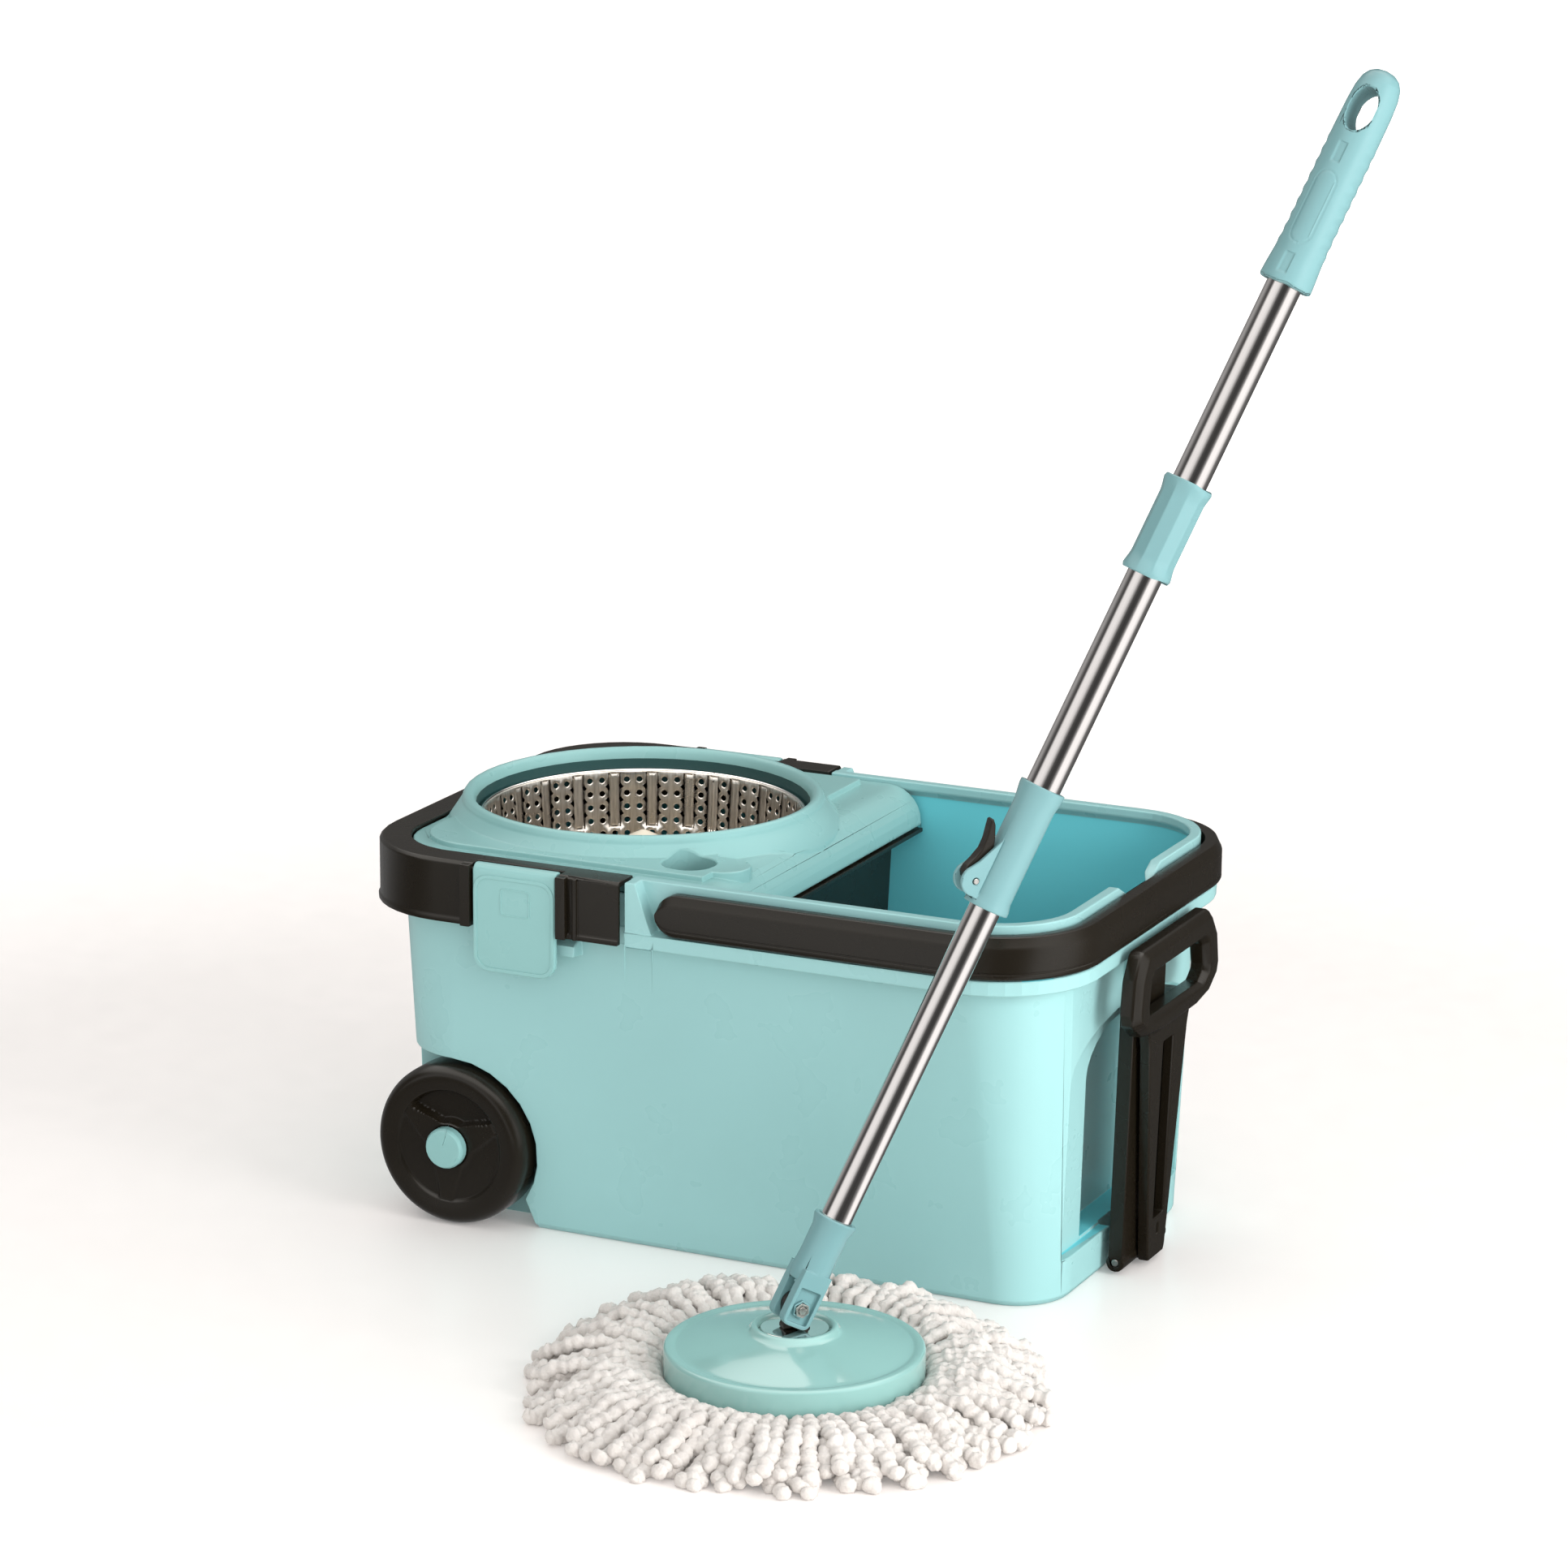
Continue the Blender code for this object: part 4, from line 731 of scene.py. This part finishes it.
def make_wheel(node, side):
    """Wheel with a rounded tread, a thin groove inside the tyre and a dished three-spoke face.

    It faces -Y, and the wheel on the +Y side is its mirror image.
    """
    low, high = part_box("wheel_front")
    rim, out, inn, steps = (high.z - low.z) / 2, -low.y, -high.y, 180
    angle = 2 * math.pi * np.arange(steps) / steps
    rings = [(0.0044, inn), (rim - 0.0110, inn), (rim - 0.0080, inn), (rim - 0.0040, inn + 0.0012)]
    rings += [(rim - 0.0014, inn + 0.0035), (rim - 0.0002, inn + 0.0065), (rim, inn + 0.0105)]
    rings += [(rim, out - 0.0120)]
    rings += [(rim - 0.0080 + 0.0080 * a, out - 0.0110 + 0.0110 * b) for a, b in arc((0, 0), 1.0, 12, 84, 10)]
    cosines, sines = np.cos(angle), np.sin(angle)
    verts = []

    def put_ring(radius, levels):
        verts.extend((radius * c, -level, radius * s) for c, s, level in zip(cosines, sines, levels))

    for radius, level in rings:
        put_ring(radius, np.full(steps, level))
    inner = [rim - 0.0092, rim - 0.0104, rim - 0.0135, rim - 0.0160]
    inner += list(np.linspace(0.0392, 0.0150, 40))
    for radius in inner:
        groove = 0.0008 * np.exp(-((radius - 0.0383) / 0.0006) ** 2)
        fall = 0.0010 * smoothstep(0.0460, 0.0400, radius)
        depth = wheel_face(np.full(steps, radius), angle) + groove + fall - 0.0005
        put_ring(radius, out - np.maximum(depth, 0.0001))
    for radius in (0.0140, 0.0044):
        put_ring(radius, np.full(steps, out - 0.0022))
    count = len(verts) // steps
    obj = mesh_object(node + "_moulded", verts, grid_faces(count, steps, True), 40.0)
    obj.data.transform(Matrix.Translation((WHEEL_C.x, 0.0, WHEEL_C.z)))
    if side > 0:
        obj.data.transform(Matrix.Scale(-1, 4, (0, 1, 0)))
        obj.data.flip_normals()
    place(obj, node)


# ---------------------------------------------------------------- carry handle
BAND_CORNER = 0.071


def band_section():
    """Outline of the band as (inward offset, height share from -1 to 1)."""
    outline = [(0.0115, 0.985), (0.0048, 1.0), (0.0034, 0.975), (0.0010, 0.60), (0.0004, 0.52), (0.0, 0.42)]
    outline += [(0.0, -0.60), (0.0005, -0.63), (0.0005, -0.69), (0.0, -0.72)]
    outline += [(0.0, -0.86), (0.0007, -0.95), (0.0018, -1.0), (0.0108, -1.0), (0.0115, -0.95)]
    return outline


def band_stations():
    """Stations (x, y, outward normal, height scale) from the front eye round the +X end to the back eye."""
    low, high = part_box("bail")
    half_x, half_y, radius = high.x, high.y, BAND_CORNER
    tip = (high.z - low.z) / 2
    front = []
    for degree in (90, 86, 78, 68, 56, 42, 28, 14):
        angle = math.radians(degree)
        front.append((BAIL_C.x - tip * math.sin(angle), -half_y, 0.0, -1.0, max(math.cos(angle), 0.03)))
    xs = np.linspace(BAIL_C.x, half_x - radius, 9)
    front += [(x, -half_y, 0.0, -1.0, 1.0) for x in xs]
    for degree in np.linspace(-90, 0, 25)[1:]:
        a, b = math.cos(math.radians(degree)), math.sin(math.radians(degree))
        front.append((half_x - radius + radius * a, -half_y + radius + radius * b, a, b, 1.0))
    back = [(x, -y, nx, -ny, scale) for x, y, nx, ny, scale in reversed(front)]
    return front + back


def make_bail():
    """The band's outline carried along its stations, with both ends closed."""
    low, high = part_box("bail")
    middle, half = (high.z + low.z) / 2, (high.z - low.z) / 2
    section, stations = band_section(), band_stations()
    verts = []
    for x, y, nx, ny, scale in stations:
        verts += [(x - nx * d, y - ny * d, middle + half * share * scale) for d, share in section]
    size = len(section)
    faces = grid_faces(len(stations), size)
    faces.append(tuple(range(size)))
    faces.append(tuple(range((len(stations) - 1) * size, len(stations) * size)))
    place(mesh_object("bail_moulded", verts, faces, 32.0), "bail")


# ---------------------------------------------------------------- pole pieces
# Radius, lower end and upper end of each tube, measured along the pole from the bolt.
TUBES = {
    "lower_tube": (0.0100, 0.0240, 0.5900),
    "upper_tube_low": (0.0110, 0.2920, 0.5190),
    "upper_tube_high": (0.0110, 0.5210, 0.7760),
}


def make_tubes():
    """Polished thin-walled tubes with broken edges."""
    wall, edge = 0.0007, 0.0002
    for node, (radius, low, top) in TUBES.items():
        profile = [(radius - edge, low), (radius, low + edge), (radius, top - edge), (radius - edge, top),
                   (radius - wall, top), (radius - wall, low)]
        place(turned(node + "_polished", profile, 96, POLE), node)


def make_sleeve():
    """Joining sleeve: a ten-sided rounded barrel between two flared ends."""
    low, top, bore, steps = 0.489, 0.551, 0.0113, 140
    angle = 2 * math.pi * np.arange(steps) / steps
    flats = np.cos(((angle * 10 / (2 * math.pi)) % 1 - 0.5) * (2 * math.pi / 10))
    levels = np.concatenate([np.linspace(low, low + 0.014, 9), np.linspace(low + 0.017, top - 0.017, 5),
                             np.linspace(top - 0.014, top, 9)])
    verts = []
    for level in levels:
        end = min(level - low, top - level)
        flare = 1 - smoothstep(0.0, 0.0120, np.array(end))
        notch = 0.0001 * np.cos(angle * 3 + 0.6) * flare
        scallop = np.where(level < (low + top) / 2, -1.0, 1.0) * 0.0012 * flare * np.sin(angle * 2 + 0.4)
        radius = 0.0143 / flats * math.cos(math.pi / 10) * (1 - flare) + 0.0158 * flare + notch
        rounded = radius - 0.0008 * (1 - smoothstep(0.0, 0.0012, np.array(end)))
        height = np.clip(level + scallop, low, top)
        verts += [(r * math.cos(a), r * math.sin(a), z) for r, a, z in zip(rounded, angle, height)]
    for level in (top - 0.0012, low + 0.0012):
        verts += [(bore * math.cos(a), bore * math.sin(a), level) for a in angle]
    obj = mesh_object("middle_sleeve_moulded", verts, grid_faces(len(levels) + 2, steps, True), 40.0)
    obj.data.transform(POLE)
    place(obj, "middle_sleeve", MATERIAL["pole_teal"])


GRIP_FRONT = math.radians(42.0)
# Grip radius along the pole, as (distance from the bolt, radius).
GRIP_OUTLINE = (
    (0.681, 0.0160), (0.683, 0.0167), (0.690, 0.0163), (0.700, 0.0155), (0.715, 0.0150), (0.778, 0.0150),
    (0.798, 0.0147), (0.808, 0.0140), (0.8145, 0.0124), (0.8185, 0.0098), (0.8210, 0.0060),
    (0.8220, 0.0006),
)


def grip_relief(level, angle):
    """Depth of the moulded outline, the two finger recesses and the side ripples."""
    off = (angle - GRIP_FRONT + math.pi / 2) % math.pi - math.pi / 2
    across = off * 0.0150
    line = np.abs(np.hypot(across, max(0.0, abs(level - 0.730) - 0.0165)) - 0.0068)
    depth = 0.00045 * np.exp(-(line / 0.00045) ** 2)
    for centre in (0.7660, 0.6935):
        inside = smoothstep(0.0030, 0.0024, np.abs(across))
        inside = inside * smoothstep(0.0068, 0.0060, np.array(abs(level - centre)))
        depth = depth + 0.0008 * inside
    ripple = 0.00030 * np.cos(2 * math.pi * level / 0.0085) * smoothstep(0.9, 1.3, np.abs(off))
    fade = smoothstep(0.700, 0.708, np.array(level)) * (1 - smoothstep(0.770, 0.780, np.array(level)))
    return depth - ripple * fade


def make_grip():
    """Tapered grip with a blank oval panel on two sides and a hanging hole."""
    steps = 160
    angle = 2 * math.pi * np.arange(steps) / steps
    levels = np.concatenate([np.linspace(0.6810, 0.7800, 150), np.linspace(0.7820, 0.8130, 18),
                             np.linspace(0.8145, 0.8219, 10)])
    verts = []
    for level in levels:
        radius = float(np.interp(level, *zip(*GRIP_OUTLINE))) - grip_relief(level, angle)
        lip = 0.0010 * np.cos(angle * 5 + 0.8) * (1 - smoothstep(0.681, 0.6845, np.array(level)))
        rise = level + np.maximum(lip, 0.0)
        verts += [(r * math.cos(a), r * math.sin(a), z) for r, a, z in zip(radius, angle, rise)]
    for level in (0.7740, 0.6812):
        verts += [(0.0113 * math.cos(a), 0.0113 * math.sin(a), level) for a in angle]
    rows = len(levels)
    faces = grid_faces(rows, steps)
    faces += [tuple(i + rows * steps for i in face) for face in grid_faces(2, steps)]
    for j in range(steps):
        k = (j + 1) % steps
        faces.append(((rows + 1) * steps + j, (rows + 1) * steps + k, k, j))
    faces.append(tuple(range((rows - 1) * steps, rows * steps)))
    faces.append(tuple(range(rows * steps, (rows + 1) * steps)))
    grip = mesh_object("grip_moulded", verts, faces)
    hole = [(0.0088 * a, 0.7945 + 0.0140 * b) for a, b in arc((0, 0), 1.0, 0, 345, 47)]
    rings = [(x, depth, z) for depth in (-0.0300, 0.0300) for x, z in hole]
    ends = [tuple(range(len(hole))), tuple(range(len(hole), len(rings)))]
    cutter = mesh_object("hang_hole", rings, grid_faces(2, len(hole)) + ends)
    cutter.data.transform(Matrix.Rotation(math.radians(-48.0), 4, "Z"))
    boolean = grip.modifiers.new("hole", "BOOLEAN")
    boolean.object = cutter
    boolean.solver = "EXACT"
    apply_modifiers(grip)
    bpy.data.objects.remove(cutter)
    grip.data.shade_smooth()
    grip.data.set_sharp_from_angle(angle=math.radians(40.0))
    soften(grip, 0.0012, 3, 55.0)
    grip.data.transform(POLE)
    place(grip, "grip", MATERIAL["pole_teal"])


def apply_modifiers(obj):
    """Bake an object's modifiers into its mesh."""
    bpy.context.view_layer.update()
    graph = bpy.context.evaluated_depsgraph_get()
    mesh = bpy.data.meshes.new_from_object(obj.evaluated_get(graph))
    obj.modifiers.clear()
    obj.data = mesh


# ---------------------------------------------------------------- latches
def ring_prism(outer, inner, low, high):
    """A flat frame in the XZ plane between two outlines of equal length, from y=low to y=high."""
    verts = []
    for outline, level in ((outer, low), (outer, high), (inner, high), (inner, low)):
        verts += [(x, level, z) for x, z in outline]
    return verts, grid_faces(4, len(outer), True)


def rounded_box(centre, half_x, half_z, radius, steps=6):
    """Outline of a rectangle with round corners."""
    outline = []
    for sx, sz, start in ((1, 1, 0), (-1, 1, 90), (-1, -1, 180), (1, -1, 270)):
        spot = (centre[0] + sx * (half_x - radius), centre[1] + sz * (half_z - radius))
        outline += arc(spot, radius, start, start + 90, steps)
    return outline


def make_latch_faces():
    """Raised border and blank label frame on each latch."""
    for node in ("latch_front", "latch_back"):
        low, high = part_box(node)
        middle = (low.x + high.x) / 2
        centre = (middle, (low.z + high.z) / 2 - 0.0030)
        half_x, half_z = (high.x - low.x) / 2, (high.z - low.z) / 2 - 0.0030
        face = low.y if low.y < 0 else high.y
        out = math.copysign(0.0006, face)
        outer = rounded_box(centre, half_x - 0.0006, half_z - 0.0006, 0.0105)
        inner = rounded_box(centre, half_x - 0.0030, half_z - 0.0030, 0.0085)
        border = ring_prism(outer, inner, face - out, face + out)
        spot = (middle + 0.0010, high.z - 0.0235)
        outer = rounded_box(spot, 0.0108, 0.0092, 0.0022)
        inner = rounded_box(spot, 0.0099, 0.0083, 0.0015)
        label = ring_prism(outer, inner, face - out, face + out * 0.6)
        for name, shape in (("_border", border), ("_label_frame", label)):
            obj = mesh_object(node + name, shape[0], shape[1], 30.0)
            soften(obj, 0.00025, 2, 40.0)
            place(obj, node, replace=False)


def make_fork_bosses():
    """Hexagonal rings moulded round the ends of the cross bolt."""
    corners = [math.radians(60 * k + 10) for k in range(6)]
    outer = [(0.0060 * math.cos(a), 0.0060 * math.sin(a)) for a in corners]
    inner = [(0.0048 * math.cos(a), 0.0048 * math.sin(a)) for a in corners]
    for side in (-1.0, 1.0):
        shape = ring_prism(outer, inner, side * 0.0088, side * 0.0113)
        boss = mesh_object("fork_boss", shape[0], shape[1], 30.0)
        soften(boss, 0.00025, 2, 40.0)
        boss.data.transform(POLE)
        place(boss, "fork", MATERIAL["pole_teal"], replace=False)


# ---------------------------------------------------------------- stage, lights and camera
# Bands round the studio, as shares of a turn from -X anticlockwise, with their brightness.
BANDS = (
    (0.00, 0.30), (0.03, 0.14), (0.07, 0.07), (0.09, 0.12), (0.13, 1.00), (0.20, 1.05), (0.245, 0.85),
    (0.27, 0.45), (0.30, 0.09), (0.34, 0.05), (0.38, 0.07), (0.41, 0.30), (0.44, 1.25), (0.51, 1.30),
    (0.555, 1.00), (0.60, 0.25), (0.64, 0.14), (0.72, 0.10), (0.82, 0.12), (0.90, 0.30), (0.96, 0.42),
    (1.00, 0.30),
)
FLOOR_SIZE = 24.0


def studio_bands(tree, spot):
    """Brightness of the studio's screens in the direction of a spot, and the spot's height."""
    nodes, links = tree.nodes, tree.links
    split = nodes.new("ShaderNodeSeparateXYZ")
    links.new(spot, split.inputs[0])
    turn = nodes.new("ShaderNodeMath")
    turn.operation = "ARCTAN2"
    links.new(split.outputs["Y"], turn.inputs[0])
    links.new(split.outputs["X"], turn.inputs[1])
    share = nodes.new("ShaderNodeMapRange")
    share.inputs["From Min"].default_value = -math.pi
    share.inputs["From Max"].default_value = math.pi
    links.new(turn.outputs[0], share.inputs["Value"])
    bands = nodes.new("ShaderNodeValToRGB")
    links.new(share.outputs["Result"], bands.inputs["Fac"])
    ramp = bands.color_ramp
    ramp.elements[0].position, ramp.elements[0].color = BANDS[0][0], (BANDS[0][1],) * 3 + (1.0,)
    ramp.elements[1].position, ramp.elements[1].color = BANDS[-1][0], (BANDS[-1][1],) * 3 + (1.0,)
    for position, value in BANDS[1:-1]:
        ramp.elements.new(position).color = (value, value, value, 1.0)
    return bands.outputs["Color"], split.outputs["Z"]


def make_floor():
    """White floor that glows more away from the object; polished pieces see the studio's screens in it."""
    made = Nodes("studio_floor")
    made.drive(Base_Color=made.blend_colour(made.noise(3.0), (0.88, 0.835, 0.810), (0.89, 0.845, 0.820)))
    made.drive(Roughness=made.ramp(made.noise(40.0), 0.3, 0.7, 0.28, 0.34))
    far = made.add("ShaderNodeVectorMath", operation="LENGTH")
    made.link(made.place, far.inputs[0])
    made.drive(Emission_Strength=made.ramp(far.outputs["Value"], 0.7, 2.4, 0.12, 0.75))
    made.set(Emission_Color=(1.0, 1.0, 1.0, 1.0))
    from_pole = made.add("ShaderNodeVectorMath", operation="SUBTRACT")
    from_pole.inputs[1].default_value = (BOLT.x + 0.08, BOLT.y + 0.08, 0.0)
    made.link(made.place, from_pole.inputs[0])
    colour, _ = studio_bands(made.tree, from_pole.outputs["Vector"])
    path = made.add("ShaderNodeLightPath")
    screens = made.add("ShaderNodeEmission")
    made.link(colour, screens.inputs["Color"])
    mix = made.add("ShaderNodeMixShader")
    made.link(path.outputs["Is Glossy Ray"], mix.inputs[0])
    made.link(made.shader.outputs[0], mix.inputs[1])
    made.link(screens.outputs[0], mix.inputs[2])
    made.link(mix.outputs[0], made.tree.nodes["Material Output"].inputs["Surface"])
    corners = [(x * FLOOR_SIZE, y * FLOOR_SIZE, 0) for x, y in ((-1, -1), (1, -1), (1, 1), (-1, 1))]
    floor = mesh_object("floor", corners, [(0, 1, 2, 3)])
    floor.data.materials.append(made.material)


def make_world():
    """White studio; glossy rays see tall dark and bright screens round it, and a bright ceiling."""
    world = bpy.data.worlds.new("studio")
    bpy.context.scene.world = world
    world.use_nodes = True
    tree = world.node_tree
    nodes, links = tree.nodes, tree.links
    plain = nodes["Background"]
    plain.inputs["Color"].default_value = (1.0, 0.995, 0.985, 1.0)
    plain.inputs["Strength"].default_value = 0.88
    coord = nodes.new("ShaderNodeTexCoord")
    colour, level = studio_bands(tree, coord.outputs["Generated"])
    height = nodes.new("ShaderNodeMapRange")
    height.inputs["From Min"].default_value = 0.50
    height.inputs["From Max"].default_value = 0.72
    links.new(level, height.inputs["Value"])
    ceiling = nodes.new("ShaderNodeMix")
    ceiling.data_type = "RGBA"
    ceiling.inputs[7].default_value = (2.6, 2.54, 2.44, 1.0)
    links.new(height.outputs["Result"], ceiling.inputs[0])
    links.new(colour, ceiling.inputs[6])
    shiny = nodes.new("ShaderNodeBackground")
    links.new(ceiling.outputs[2], shiny.inputs["Color"])
    backdrop = nodes.new("ShaderNodeBackground")
    backdrop.inputs["Strength"].default_value = 1.02
    path = nodes.new("ShaderNodeLightPath")
    mix = nodes.new("ShaderNodeMixShader")
    links.new(path.outputs["Is Glossy Ray"], mix.inputs[0])
    links.new(plain.outputs[0], mix.inputs[1])
    links.new(shiny.outputs[0], mix.inputs[2])
    seen = nodes.new("ShaderNodeMixShader")
    links.new(path.outputs["Is Camera Ray"], seen.inputs[0])
    links.new(mix.outputs[0], seen.inputs[1])
    links.new(backdrop.outputs[0], seen.inputs[2])
    links.new(seen.outputs[0], nodes["World Output"].inputs["Surface"])


def add_light(name, spot, aim, size, power):
    """An area light that polished metal doesn't show."""
    data = bpy.data.lights.new(name, "AREA")
    data.shape = "RECTANGLE"
    data.size, data.size_y = size
    data.energy = power
    light = bpy.data.objects.new(name, data)
    light.location = spot
    light.rotation_euler = (Vector(aim) - Vector(spot)).to_track_quat("-Z", "Y").to_euler()
    light.visible_glossy = False
    bpy.context.scene.collection.objects.link(light)


def make_lights():
    add_light("soft_top", (0.1, 0.1, 2.4), (0.0, 0.0, 0.0), (2.6, 2.6), 3.0)
    add_light("soft_front", (1.7, -2.6, 1.2), (0.0, 0.0, 0.15), (2.0, 2.0), 26.0)
    add_light("soft_right", (2.9, -0.7, 0.9), (0.1, 0.0, 0.15), (1.4, 2.0), 74.0)
    add_light("soft_left_back", (-1.8, 1.4, 1.8), (-0.1, 0.0, 0.25), (1.4, 1.4), 4.0)


CAMERA_TURN = 25.38             # degrees round the object from its -Y side
CAMERA_TIP, CAMERA_ROLL = 14.63, 0.38       # degrees down from level, and about its own axis
CAMERA_HEIGHT, CAMERA_AWAY = 1.172, 3.2214
CAMERA_AIM = (0.0517, -0.1378)
CAMERA_LENS, CAMERA_SENSOR = 120.7, 36.0


def make_camera():
    data = bpy.data.cameras.new("camera")
    data.lens, data.sensor_width = CAMERA_LENS, CAMERA_SENSOR
    camera = bpy.data.objects.new("camera", data)
    bpy.context.scene.collection.objects.link(camera)
    turn = math.radians(CAMERA_TURN)
    away_x, away_y = CAMERA_AWAY * math.sin(turn), CAMERA_AWAY * math.cos(turn)
    spot = (CAMERA_AIM[0] + away_x, CAMERA_AIM[1] - away_y, CAMERA_HEIGHT)
    look = Matrix.Rotation(turn, 4, "Z") @ Matrix.Rotation(math.radians(90.0 - CAMERA_TIP), 4, "X")
    camera.matrix_world = Matrix.Translation(spot) @ look @ Matrix.Rotation(math.radians(CAMERA_ROLL), 4, "Z")
    bpy.context.scene.camera = camera
    bpy.context.scene.view_settings.view_transform = "Standard"


make_camera()
make_world()
make_lights()
make_floor()
make_mouldings()
make_fringe()
make_disc()
make_basket()
make_basket_floor()
make_basket_rim()
make_hub()
make_wheel("wheel_front", -1)
make_wheel("wheel_back", 1)
make_bail()
make_tubes()
make_sleeve()
make_grip()
make_latch_faces()
make_fork_bosses()
